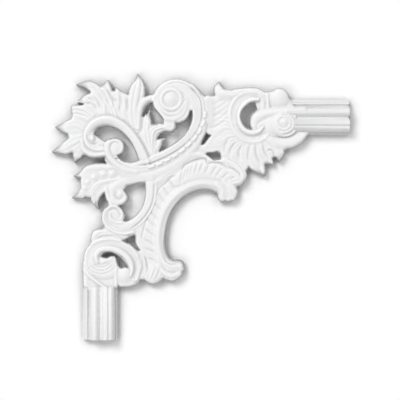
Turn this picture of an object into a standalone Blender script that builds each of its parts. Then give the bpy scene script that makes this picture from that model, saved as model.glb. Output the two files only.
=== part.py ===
"""Corner piece of a wall panel moulding: openwork acanthus and scrolls between two straight arms.

The piece is one casting with a flat back. Its drawing lies on a sheet in millimetres, x to the right and
y down, at full size; CORNER is the place on the sheet where the centre lines of the two arms cross, and
the model's origin is there, on the wall. +X runs out along the level arm, +Z is up, and the front faces -Y.
"""

import math

import bmesh
import bpy
import numpy as np

MM = 0.001

# Driving sizes, mm
CORNER = (100.0, 117.1)         # where the arms' centre lines cross on the drawing sheet
RELIEF_DEPTH = 1.2              # each drawn millimetre of height is so deep in the casting
ARM_WIDTH = 34.5                # width of the straight moulding that the arms butt against
LEVEL_ARM_END = 349.3           # square end of the level arm, x on the sheet
UPRIGHT_ARM_END = 339.8         # square end of the upright arm, y on the sheet
ARM_ROOTS = (286.3, 286.7)      # where the straight arms start, x and y on the sheet
SHEET_LOW, SHEET_HIGH = (46, 68), (322, 312)    # the part of the sheet that carries ornament
EDGE_HEIGHT = 5.4               # height of the ornament's outer edge above the wall
EDGE_ROUNDING = 3.2             # how far in from its edge the ornament is rounded down
ARM_SMOOTHNESS = 3              # points for each stretch of the moulding's profile
SHEET_STEP = 1.0                # spacing of the measured points on the sheet
FACES_KEPT = 8000               # triangles left of the ornament for the solid
BACK_SPARE = 2.0                # stock behind the wall plane, cut off flat
ARM_SPARE = 3.0                 # the same behind the arms
WALL_BLOCK = (1.0, 0.05)        # side and thickness of the block that stands for the wall, m
CROSSING_MARGIN = 0.12          # least distance, in steps, between the outline and a measured point

FAR = 1e3
BED = 8.2                       # height of the ground that the carved forms stand on
SOFTNESS = 0.7                  # how softly a form meets the one under it
HOLE_CRISPNESS = 1.7            # how much narrower the rounding is round a hole than at the outer edge
HOLE_MARGIN = 0.6               # how far each drawn hole is drawn in, for the rounding at its rim
CREASE_STRENGTH = 1.6           # how much deeper the fine lines are cut than drawn


def smooth_line(points, per_span=8):
    """A Catmull-Rom curve through points: (positions, place along the control points)."""
    p = np.array(points, float)
    if len(p) < 3:
        t = np.linspace(0, len(p) - 1, per_span * (len(p) - 1) + 1)
        k = np.minimum(t.astype(int), len(p) - 2)
        f = (t - k)[:, None]
        return p[k] * (1 - f) + p[k + 1] * f, t
    ends = np.vstack([2 * p[0] - p[1], p, 2 * p[-1] - p[-2]])
    out, place = [], []
    for i in range(len(p) - 1):
        a, b, c, d = ends[i : i + 4]
        f = np.arange(per_span)[:, None] / per_span
        ta = np.linalg.norm(b - a) ** 0.5 + 1e-9
        tb = np.linalg.norm(c - b) ** 0.5 + 1e-9
        tc = np.linalg.norm(d - c) ** 0.5 + 1e-9
        mb = (b - a) / ta - (c - a) / (ta + tb) + (c - b) / tb
        mc = (c - b) / tb - (d - b) / (tb + tc) + (d - c) / tc
        mb, mc = mb * tb, mc * tb
        out.append(
            b * (1 - 3 * f**2 + 2 * f**3)
            + mb * (f - 2 * f**2 + f**3)
            + c * (3 * f**2 - 2 * f**3)
            + mc * (f**3 - f**2)
        )
        place.append(i + f[:, 0])
    out.append(p[-1:])
    place.append([len(p) - 1])
    return np.vstack(out), np.concatenate(place)


def round_section(u):
    return np.sqrt(np.maximum(0, 1 - u * u))


def soft_section(u):
    return np.maximum(0, 1 - u * u)


def flat_section(u):
    return np.maximum(0, 1 - np.abs(u) ** 5)


def leaning(top, sharp=2.0):
    """A convex section whose crest lies at u = top."""
    def section(u):
        side = np.where(u > top, (u - top) / (1 - top), (top - u) / (1 + top))
        return np.maximum(0, 1 - np.abs(side) ** sharp)
    return section


class Relief:
    def __init__(self, low, high, step):
        self.step = step
        nx = int(round((high[0] - low[0]) / step)) + 1
        ny = int(round((high[1] - low[1]) / step)) + 1
        self.x = low[0] + step * np.arange(nx)
        self.y = low[1] + step * np.arange(ny)
        self.height = np.zeros((ny, nx))
        self.cover = np.full((ny, nx), -FAR)

    def window(self, low, high):
        i0, i1 = np.searchsorted(self.x, [low[0], high[0]])
        j0, j1 = np.searchsorted(self.y, [low[1], high[1]])
        return slice(j0, j1), slice(i0, i1)

    def nearest(self, line, values, reach):
        """For the grid points near a line: the window, distance, side and the values at the nearest place."""
        rows, columns = self.window(line.min(0) - reach, line.max(0) + reach)
        gx, gy = np.meshgrid(self.x[columns], self.y[rows])
        best = np.full(gx.shape, FAR**2)
        side = np.ones(gx.shape)
        found = [np.zeros(gx.shape) for _ in values]
        for k in range(len(line) - 1):
            a, d = line[k], line[k + 1] - line[k]
            size = d @ d
            if size < 1e-12:
                continue
            rx, ry = gx - a[0], gy - a[1]
            t = np.clip((rx * d[0] + ry * d[1]) / size, 0, 1)
            gap = (rx - t * d[0]) ** 2 + (ry - t * d[1]) ** 2
            closer = gap < best
            best = np.where(closer, gap, best)
            side = np.where(closer, np.sign(rx * d[1] - ry * d[0]), side)
            for v, f in zip(values, found):
                f[closer] = (v[k] + t * (v[k + 1] - v[k]))[closer]
        return (rows, columns), np.sqrt(best), side, found

    def sweep(self, points, width, height, section=soft_section, edge=BED, moat=0.0, moat_width=1.3,
              sink=False):
        """Lays a band along points: half width and crest height are given once or at each point."""
        line, place = smooth_line(points)
        at = np.arange(len(points))
        w = np.interp(place, at, np.broadcast_to(width, len(points)))
        h = np.interp(place, at, np.broadcast_to(height, len(points)))
        e = np.interp(place, at, np.broadcast_to(edge, len(points)))
        reach = w.max() + 6
        where, distance, side, (w, h, e) = self.nearest(line, (w, h, e), reach)
        u = np.clip(side * distance / np.maximum(w, 1e-6), -1, 1)
        top = e + (h - e) * section(u)
        cover = w - distance
        if moat:
            away = np.maximum(0, -cover) / moat_width
            self.height[where] -= moat * np.exp(-away * away) * (cover <= 0) * (self.height[where] > e)
        self.merge(where, cover, top, sink)

    def merge(self, where, cover, top, sink=False):
        margin = 1.5 * self.step
        held = self.height[where]
        near = cover > -margin
        if sink:
            self.height[where] = np.where(cover > 0, top, held)
        else:
            lift = np.maximum(SOFTNESS - np.abs(held - top), 0) ** 2 / (4 * SOFTNESS)
            self.height[where] = np.where(near, np.maximum(held, top) + lift * (held > 0), held)
        self.cover[where] = np.maximum(self.cover[where], cover)

    def dome(self, centre, radius, height, section=soft_section, edge=BED, moat=0.0, moat_width=1.3,
             sink=False):
        """A rounded boss, round or oval."""
        rx, ry = np.broadcast_to(radius, 2).astype(float)
        reach = max(rx, ry) + 6
        rows, columns = self.window(np.array(centre) - reach, np.array(centre) + reach)
        gx, gy = np.meshgrid(self.x[columns], self.y[rows])
        u = np.hypot((gx - centre[0]) / rx, (gy - centre[1]) / ry)
        cover = (1 - u) * min(rx, ry)
        top = edge + (height - edge) * section(np.minimum(u, 1))
        if moat:
            away = np.maximum(0, -cover) / moat_width
            self.height[rows, columns] -= moat * np.exp(-away * away) * (cover <= 0)
        self.merge((rows, columns), cover, top, sink)

    def crease(self, points, width, depth):
        """Cuts (depth > 0) or raises (depth < 0) a soft line on what is there, fading at both ends."""
        line, place = smooth_line(points)
        ends = np.minimum(place, place[-1] - place)
        d = depth * CREASE_STRENGTH * np.clip(ends / 0.6, 0.15, 1)
        where, distance, _, (d,) = self.nearest(line, (d,), 3 * width)
        self.height[where] -= d * np.exp(-((distance / width) ** 2)) * (self.cover[where] > -2)

    def ring(self, centre, radius, width, depth, start=0, end=360):
        turn = np.radians(np.linspace(start, end, 25))
        rx, ry = np.broadcast_to(radius, 2).astype(float)
        self.crease([(centre[0] + rx * math.cos(a), centre[1] + ry * math.sin(a)) for a in turn], width,
                    depth)

    def cut(self, *spans):
        """Opens a hole through the work. Its outline is made of smooth spans that meet at corners."""
        outline = np.vstack([smooth_line(s)[0][:-1] for s in spans])
        low, high = outline.min(0) - 12, outline.max(0) + 12
        rows, columns = self.window(low, high)
        gx, gy = np.meshgrid(self.x[columns], self.y[rows])
        inside = np.zeros(gx.shape, bool)
        best = np.full(gx.shape, FAR**2)
        for k in range(len(outline)):
            a, b = outline[k - 1], outline[k]
            d = b - a
            size = max(d @ d, 1e-12)
            rx, ry = gx - a[0], gy - a[1]
            t = np.clip((rx * d[0] + ry * d[1]) / size, 0, 1)
            best = np.minimum(best, (rx - t * d[0]) ** 2 + (ry - t * d[1]) ** 2)
            crosses = (a[1] > gy) != (b[1] > gy)
            with np.errstate(divide="ignore", invalid="ignore"):
                inside ^= crosses & (gx < a[0] + (gy - a[1]) * d[0] / (d[1] if d[1] else 1e-12))
        gap = (np.sqrt(best) * np.where(inside, -1, 1) + HOLE_MARGIN) * HOLE_CRISPNESS
        self.cover[rows, columns] = np.minimum(self.cover[rows, columns], gap)

    def inner_depth(self):
        """How far each point lies inside the outline, over the few steps that the rounding needs."""
        rows, columns = np.indices(self.cover.shape)
        outside = self.cover <= 0
        near = np.dstack([np.where(outside, rows, -FAR), np.where(outside, columns, -FAR)])
        best = np.where(outside, 0, FAR**2)
        for hop in (8, 4, 2, 1, 1):
            for turn in ((hop, 0), (-hop, 0), (0, hop), (0, -hop), (hop, hop), (hop, -hop), (-hop, hop),
                         (-hop, -hop)):
                other = np.roll(near, turn, (0, 1))
                gap = (rows - other[..., 0]) ** 2 + (columns - other[..., 1]) ** 2
                closer = gap < best
                best = np.where(closer, gap, best)
                near[closer] = other[closer]
        return (np.sqrt(best) - 0.7) * self.step

    def finish(self, edge=3.2, rounding=3.6, blur=0.45):
        """Rounds the surface down to the outline, then softens it all a little."""
        self.cover = np.where(self.cover > 0, np.maximum(self.cover, self.inner_depth()), self.cover)
        s = np.clip(self.cover / rounding, 0, 1)
        fall = np.sqrt(1 - (1 - s) ** 2)
        low = np.minimum(self.height, edge)
        self.height = low + (self.height - low) * fall
        passes = max(1, int(round((blur / self.step) ** 2 * 2)))
        for _ in range(passes):
            h = self.height
            m = (self.cover > -1.5 * self.step).astype(float)
            total, weight = h * m * 2, m * 2
            for axis in (0, 1):
                for shift in (-1, 1):
                    total = total + np.roll(h * m, shift, axis)
                    weight = weight + np.roll(m, shift, axis)
            self.height = np.where(weight > 0, total / np.maximum(weight, 1e-9), h)


TIP_HEIGHT = 6.6                # height of a leaf lobe at its thin tip
LOBE_SWELL = ((0, 0.35, 0.7, 0.9, 1), (0.75, 1.0, 0.85, 0.5, 0.08))     # half width along a lobe
GROUND = 8.8                    # height of the ground under the carving
VEIN = 0.4                      # depth of a lobe's veins, as a share of its swelling
PEARLS, PEARL_PITCH, FIRST_PEARL = 10, 8.7, 5.0     # pearls on the great scroll, and where they lie
STROKES = 5                     # long strokes left of the shell


def veined_section(u):
    """A leaf lobe across: a soft swelling with three fine veins."""
    veins = sum(np.exp(-(((u - at) / 0.11) ** 2)) for at in (-0.5, 0.05, 0.52))
    return np.maximum(0, 1 - np.abs(u) ** 2.6) - VEIN * veins


def trough_section(u):
    """A hollow band: raised outer fillet at u = -1, a shallow trough, a rounded inner edge."""
    return np.interp(u, [-1, -0.9, -0.62, -0.5, -0.1, 0.4, 0.8, 1],
                     [0.5, 0.85, 0.9, 0.72, 0.7, 0.86, 1, 0.85])


def arch_section(u):
    """The arch's rim: flat towards the leaves, then falling away steeply to its inner edge."""
    return np.interp(u, [-1, -0.6, -0.15, 0.05, 1], [0.7, 0.9, 1, 0.9, 0])


def dished_section(u):
    """A shallow trough between two soft lips."""
    return np.interp(np.abs(u), [0, 0.4, 0.75, 1], [0.45, 0.55, 1, 0.6])


def lobe(r, path, width, top=10.2, groove=0.3):
    """A pointed leaf lobe that swells from its root and runs out to a thin tip."""
    share = np.linspace(0, 1, len(path))
    widths = width * np.interp(share, *LOBE_SWELL)
    heights = np.interp(share, (0, 0.6, 1), (top, top - 0.5, TIP_HEIGHT))
    r.sweep(path, widths, heights, veined_section, edge=np.minimum(heights - 0.8, GROUND), moat=groove)


def between(first, second, number):
    """Straight lines from places along one curve to the matching places along another."""
    a, b = (smooth_line(path, 12)[0] for path in (first, second))
    for share in np.linspace(0, 1, number):
        p, q = a[int(round(share * (len(a) - 1)))], b[int(round(share * (len(b) - 1)))]
        yield [p, (p + q) / 2 + (0, -0.5), q]


def ground(r):
    """The bed that all the carving stands on."""
    for path, widths in [
        # under the corner leaf, the scroll and its stem
        ([(147, 152), (141, 130), (130, 112), (114, 104), (98, 106), (84, 116), (77, 132.5), (83, 144),
          (94, 151)],
         [5, 9, 14, 13.5, 12, 10, 10.2, 6.5, 5.5]),
        ([(112, 158), (128, 171), (150, 168), (172, 158), (189, 143), (199, 124), (199, 104), (190, 90)],
         [8, 9, 12, 12, 12, 11, 9, 7]),
        ([(164, 120), (160, 130), (155, 142), (150, 158)], [6, 4, 5, 6]),
        # between scroll and shell, and under the shell's lobes
        ([(210, 114), (224, 114)], [9, 9]),
        ([(203, 149), (214, 148)], [5.5, 7]),
        ([(189, 94), (190.4, 108)], [4, 4]),
        ([(258, 102), (258, 110)], [3, 3]),
        ([(209.4, 140), (206, 146)], [2.6, 2.6]),
        ([(222, 152), (223.4, 159)], [2.4, 2.6]),
        ([(269, 157), (272.2, 162.6)], [3.4, 2]),
        ([(262, 162), (263.8, 171)], [3, 2.2]),
        ([(222, 197), (229, 197)], [4, 4.4]),
        ([(166, 118), (172, 119)], [4, 4]),
        ([(206, 104), (222, 104), (238, 100), (250, 97), (264, 99), (278, 103), (290, 114)],
         [8, 10, 12, 9.5, 7.6, 12, 9]),
        ([(206, 122), (214, 132), (228, 140), (248, 148), (264, 148), (278, 142), (290, 134), (298, 127)],
         [9, 11, 14, 15, 13, 11, 10, 6]),
        ([(228, 150), (238, 158), (243, 166)], [9, 8, 6]),
        ([(262, 122), (276, 122), (288, 122)], [13, 13, 10]),
        # the arch and the leaves along it
        ([(236, 178), (222, 173), (205, 171), (190, 173), (176, 181), (166, 192), (158, 206), (153, 220),
          (149, 238), (149, 254), (153, 272)],
         [9, 13, 14, 15, 14, 14, 13, 14, 14, 13, 12]),
        ([(188, 160), (172, 168), (156, 178), (151, 190), (149, 205)], [8, 9, 9, 8, 7]),
        # down to the lower shell
        ([(124, 173), (112, 176), (100, 178), (92, 184), (89, 191)], [8, 8.5, 9, 8, 7]),
        ([(120, 180), (116, 194), (113, 206), (113, 219), (124, 231), (140, 226)],
         [8, 9.5, 5.5, 11, 6.5, 8]),
        ([(112, 232), (104, 244), (104, 262), (104, 274), (101, 284)], [9, 13, 20, 17, 15]),
        ([(128, 252), (134, 264), (131, 276)], [9, 13, 10.5]),
    ]:
        r.sweep(path, widths, GROUND, flat_section, edge=GROUND - 0.3)


def corner_leaf(r):
    """The acanthus fan at the outer corner, with its rolled rim round the kidney-shaped hole."""
    for path, width, top in [
        ([(104, 117), (104, 103), (98, 92), (89, 85.2), (76.3, 84.6)], 6.6, 10.2),
        ([(103, 116), (98, 105), (91, 98.4), (84, 100), (77, 102.2)], 5.8, 10),
        ([(86, 131), (76, 125.6), (66, 127.3), (55.6, 127.3)], 7.8, 9.8),
        ([(86, 138), (75, 142.5), (65, 148.5), (52.2, 151.7)], 7.8, 10.2),
        ([(85, 143), (80, 150), (77, 156), (74.6, 162.6)], 6, 9.8),
        ([(116, 117), (112, 105), (107.5, 97), (104.6, 89), (107, 80.2)], 6, 10.2),
        ([(124, 119), (121.5, 107), (118.5, 97), (115.6, 87.6)], 5.6, 10),
        ([(130, 122), (128, 108), (125, 98), (120, 90.4)], 5.4, 9.8),
        ([(149, 152), (143.5, 135), (142, 124), (142.6, 115.8)], 3.8, 10.2),
        ([(151, 152), (147.5, 134), (147.6, 121), (149.4, 110.6)], 5.2, 10.4),
        ([(153, 158), (156, 148), (159.5, 142.5), (165, 138.2)], 4.8, 10.2),
    ]:
        lobe(r, path, width, top)
    # the spike, whose shoulders narrow to a fine tip
    r.sweep([(136, 128), (134.8, 108), (137, 93), (138, 87), (138.7, 82), (138.4, 78), (137.6, 74)],
            [6, 8.4, 8.8, 7.8, 5.2, 2.8, 0.6],
            [10.4, 10.8, 10.8, 10.4, 9.4, 8.2, 6.6], veined_section,
            edge=[GROUND] * 3 + [8.4, 7.6, 6.8, 5.8], moat=0.3)
    # small lobes that stand between the large ones
    for path, widths in (([(107, 97), (108.6, 90), (107.6, 82)], [5, 4, 2]),
                         ([(119.4, 97), (117.6, 91.6), (115.6, 88)], [4.6, 3.4, 1.2]),
                         ([(90, 97), (92.4, 92.4)], [2.6, 2.2]),
                         ([(73.6, 149), (78, 150.4), (84, 151.6)], [4, 4.4, 4])):
        r.sweep(path, widths, [9.4] * (len(path) - 1) + [8], soft_section, edge=7.8)
    # the blunt flutes on the outer side, one above another
    for y, tip, half in ((107.9, 73.8, 3.3), (111.6, 74.1, 3.1), (115.4, 74.8, 3.1)):
        r.sweep([(93, y + 7), (84, y + 1.6), (tip, y)], [3, 3.6, half], [9.8, 9.6, 8.6], soft_section,
                edge=GROUND - 0.3, moat=0.25)
    r.sweep([(125, 108), (124.6, 97)], 4.2, [9.4, 8.8], soft_section, edge=8.4)
    # the arched stalk over the leaf-shaped hole, up to the volute
    r.sweep([(139, 128), (140, 111), (144, 102.5), (150.5, 98.8), (158, 98)], [3, 4, 4.6, 4.4, 4.2], 10.8,
            leaning(0.3), moat=0.3)
    # the bent lobe that ends in a blunt block under the volute
    r.sweep([(152, 156), (152, 142), (153.6, 131.5), (160, 127.8), (168.2, 126)],
            [3.4, 4, 4.8, 5, 5.6], [10.2, 10.2, 10.4, 10.6, 11], veined_section, moat=0.3)
    r.sweep([(169.4, 120.5), (169.6, 126)], 5.4, 11.2, flat_section, edge=10)
    # the dished inside of the curl and the roll under it
    r.dome((97, 140), (14, 11), 9.8, flat_section, edge=9.4)
    r.sweep([(82.8, 141), (84.6, 149), (90.6, 153.4), (98, 154), (107, 153)], [2.8, 3.8, 4.6, 4.4, 4], 10.6,
            leaning(-0.25), moat=0.3)
    # the rolled rim
    r.sweep([(145.5, 162), (138.5, 148), (131, 136.3), (121.8, 127), (110.5, 121.2), (100, 121.8),
             (91.6, 127), (87.6, 135), (89, 144), (95, 148.6), (103, 148.8)],
            [5.8, 6.2, 6.2, 6.0, 5.8, 5.6, 5, 4.2, 3.6, 3, 2.4],
            [11.8, 12.2, 12.2, 12.2, 12.2, 12, 11.6, 11.2, 11, 10.6, 10.2], leaning(-0.5),
            edge=[8.8] * 7 + [9.2] * 4, moat=0.8)
    r.dome((92.5, 138.5), (3, 4), 12.2, soft_section, edge=9.8)
    r.crease([(87.8, 133), (88, 138.6), (90.6, 143), (95, 144), (99.4, 142.4)], 0.8, 0.52)
    r.crease([(140.6, 163), (133.2, 146.6), (126.4, 137), (117.6, 129.8), (108, 126.4)], 0.7, 0.38)
    # fine lines that sweep up the fan
    for first, second in (((98, 113), (88, 97.6)), ((101, 111), (93, 95)), ((119, 112), (119, 98)),
                          ((113, 113), (112, 98)), ((126.6, 114), (127, 100))):
        r.crease([first, ((first[0] + second[0]) / 2 + 1.2, (first[1] + second[1]) / 2 - 1), second], 0.7,
                 0.38)


def great_scroll(r):
    """The big C-scroll: volute above, small curl below, pearls along its outer side."""
    # outer roll beyond the pearls
    r.sweep([(204.5, 124), (200.5, 137), (193, 147.5), (184, 156.6), (174.5, 164), (164, 169.6),
             (153, 173.8), (141, 175.6), (130, 174.4), (121, 169), (113, 161)],
            [3, 4.4, 5, 5.2, 5.4, 5.6, 5.8, 6, 5.8, 5, 3.6], 10.2, leaning(0.1), edge=GROUND, moat=0.3)
    pearl_line = [(204.2, 99), (205, 110), (204.5, 119), (201.6, 127.8), (197.0, 135.6), (191.4, 142.2),
                  (185.2, 148.2),
                  (178.4, 153.4), (171.2, 158), (163.6, 162), (155.7, 165.3), (147, 167.8), (137, 169),
                  (127, 167.2), (119, 162.4)]
    r.sweep(pearl_line, 2.8, 10.3, flat_section, edge=10)
    # the smooth band that winds into the volute
    r.dome((172.4, 100.6), (20, 20.8), 11.4, flat_section, edge=11)
    r.sweep([(172, 115.8), (179, 114.6), (182.8, 113.4)], [5.8, 6.6, 6.2], 11.2, flat_section, edge=10.6)
    band = [(126, 164), (136, 165.2), (147, 163.4), (157, 159.4), (168, 153.8), (178, 147), (187, 138.6),
            (193.6, 129), (197, 118.5), (197, 107.5), (194, 97), (188, 88.8), (178.5, 84.4), (168, 85.4),
            (160.2, 91.6), (156.8, 100.5), (159, 109.6), (166, 115.4), (174.4, 116), (181.6, 111.8),
            (186, 104)]
    widths = [2.4, 3, 3.8, 4.6, 5.4, 5.8, 6.2, 6.2, 6.2, 6.2, 6.2, 6, 5.6, 5,
              4.6, 4.4, 4.4, 4.6, 4.4, 3.6, 1.6]
    heights = [10.8] * 4 + [11.2] * 5 + [11.8] * 6 + [12] * 6
    r.sweep(band, widths, heights, trough_section, edge=[h - 1.4 for h in heights], moat=0.35)
    # the button in the middle of the volute
    r.dome((171.2, 99.7), 11.4, 12.4, flat_section, edge=11.8, moat=0.3)
    r.ring((171.2, 99.7), 9.9, 1.1, -0.5)
    r.ring((171.2, 99.7), 7.3, 1.0, 0.5)
    r.ring((171.2, 99.7), 12.2, 0.6, 0.35)
    r.dome((170.8, 99.3), 5.6, 13.2, soft_section, edge=12)
    r.crease([(161, 112), (169, 116.4), (178, 115)], 0.7, 0.38)
    r.crease([(163, 108.6), (170.5, 112.6), (179, 110.6)], 0.6, 0.38)
    # the fine line that divides the band from its outer fillet and from the pearls
    r.crease([(160, 91), (165, 86.3), (172.5, 83), (180, 82.8), (188, 85.8), (195, 92.2), (200.4, 100),
              (202, 110), (201.6, 119), (199.2, 126.8), (194.8, 134.6), (188.2, 141.8), (180, 148.6),
              (170.6, 154.6), (160, 159.8), (149, 164), (138, 166)], 0.75, 1.0)
    # pearls
    line, _ = smooth_line(pearl_line[1:-3])
    length = np.concatenate([[0], np.cumsum(np.hypot(*np.diff(line, axis=0).T))])
    for n in range(PEARLS):
        a, b = (np.array([np.interp(FIRST_PEARL + n * PEARL_PITCH + s, length, line[:, k]) for k in (0,
                1)]) for s in (-1.9, 1.9))
        r.sweep([a, b], 1.9, 11.5, round_section, edge=10.1, moat=0.4, moat_width=0.9)
    # the curl at the lower end
    r.dome((115, 147.6), 10, 10.9, flat_section, edge=10.4, moat=0.4)
    r.sweep([(136, 171.5), (126, 169.3), (117.5, 164.4), (110.4, 157.6), (107.4, 150), (109.6, 142.5),
             (115.4, 139.8), (121.4, 142.4), (122.8, 148), (120, 152.4)],
            [2.2, 2.6, 2.6, 2.6, 2.6, 2.4, 2.2, 2.2, 2, 1.6],
            [10.8, 11, 11.2, 11.4, 11.5, 11.5, 11.5, 11.4, 11.3, 11.1], leaning(0.2), edge=10.4)
    r.crease([(124, 166.4), (117.8, 161.5), (112.6, 155), (110.6, 149), (112, 144), (116, 142.4),
              (119.6, 144.6)], 0.7, 0.45)
    r.crease([(131, 168.4), (122, 163.8), (115.4, 157), (112.8, 150)], 0.7, 0.38)
    r.dome((115.4, 150), (3.4, 3.8), 11.4, soft_section, edge=10.8)


def bead_pod(r):
    """The pod of beads that opens to the left under the corner leaf."""
    r.sweep([(122, 168.8), (109, 167.8), (97, 167.6), (88, 169.6), (74, 175.8)], [4, 4.2, 4.8, 4.8, 0.6],
            [10, 10, 9.8, 9.2, 6.6], leaning(-0.2), edge=[GROUND, GROUND, GROUND, 8.4, 6], moat=0.25)
    r.sweep([(108, 175), (95, 175.6), (86, 179), (83.4, 185), (83.4, 191)], [5, 5, 5.4, 3.2, 2.4], 9.2,
            flat_section, edge=8.8)
    lobe(r, [(92, 184), (86, 190), (81, 194.8), (72.2, 197.8)], 5.6, 9.6)
    r.sweep([(114, 184), (104, 186.5), (97.3, 193), (95.2, 200), (98.2, 208.6)], [4, 5.6, 5.4, 4.6, 0.6],
            [9.8, 9.9, 9.8, 9, 6.6], dished_section, edge=[8.8, 8.8, 8.8, 8.2, 6], moat=0.3)
    r.sweep([(120, 178.6), (108, 180.4), (99, 182.8), (93.4, 187.4), (91.4, 194), (93.4, 202)],
            [1.8, 1.8, 1.8, 1.8, 1.8, 1.2], [10, 10, 10, 9.8, 9.4, 8], soft_section, edge=9)
    for centre, radius in [((112.2, 173.6), 4.1), ((103.2, 174), 3.9), ((94.2, 177.4), 3.6),
                           ((87.6, 182.2), 3.0), ((84.6, 188.2), 2.4)]:
        r.dome(centre, radius, 9.7 + radius * 0.3, soft_section, edge=9.3, moat=0.6, moat_width=0.9)
        r.ring(centre, radius * 0.5, 0.6, 0.2)


def small_curl(r):
    """The short curl between the pod and the snail."""
    r.dome((116.5, 193.5), (10.8, 11.4), 9.8, flat_section, edge=9.2)
    r.sweep([(146, 180), (132, 181.2), (121.5, 183.6), (114, 188.8), (111.8, 196), (115, 201.6),
             (121.6, 201.8), (125.4, 197.6), (123.4, 192.6)],
            [3, 3.8, 4.8, 4.8, 4.4, 4, 3.6, 3.2, 2], [9.8, 10, 10.4, 10.6, 10.6, 10.6, 10.6, 10.6, 10.4],
            leaning(-0.3), edge=9.6, moat=0.25)
    r.dome((120.3, 193.8), (3.2, 3.8), 11.2, soft_section, edge=10)
    r.crease([(115.6, 191), (115.6, 196), (118.8, 199), (122.8, 198.4)], 0.7, 0.52)
    r.sweep([(106, 188.5), (106.4, 193.5), (107.8, 199), (111, 204.4)], 2.1, 10.4, soft_section, edge=9.4)
    r.crease([(109.6, 188.5), (109.4, 194), (111, 200)], 0.7, 0.52)


def snail_scroll(r):
    """The snail-shaped scroll that hangs left of the arch."""
    r.dome((113.5, 218.6), (12.4, 13.4), 9.5, flat_section, edge=9.2)
    r.sweep([(150.5, 178), (150.6, 191), (148.4, 202), (143, 212.5), (135, 220.8), (125, 226),
             (116.3, 226.4)],
            [4.6, 5.6, 5.8, 6, 6, 5.4, 4], [10.2, 10.2, 10.4, 10.4, 10.4, 10.2, 9.9], leaning(0.1),
            edge=9.4, moat=0.25)
    # raised fillet all round, then the tongue in the middle
    r.sweep([(133, 232), (124, 233.6), (115.5, 232.2), (108.6, 228), (104.2, 222), (103, 215.4),
             (105.2, 209.8), (110, 206.8), (115.6, 206.4), (120, 208.6), (122.6, 213), (121.8, 218.6)],
            1.6, 10.5, soft_section, edge=9.4)
    r.sweep([(109.6, 213.6), (111.4, 219), (116.2, 222.4), (124.4, 222.4)], [1.4, 1.7, 1.8, 1.6], 10.6,
            soft_section, edge=9.4)
    r.crease([(119.4, 218.4), (119.8, 213.6), (117, 210), (112.6, 209.4), (108.6, 212), (107.4, 217),
              (109.4, 222.6), (114.4, 226.8), (121.6, 228.6)], 0.75, 0.45)
    r.crease([(154.2, 180), (154.2, 192), (152.4, 203), (147.4, 213.4), (139.6, 222.6), (130, 229.6)], 0.75,
             0.6)
    r.crease([(150.4, 190), (148.4, 201), (143, 211)], 0.7, 0.22)


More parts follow.
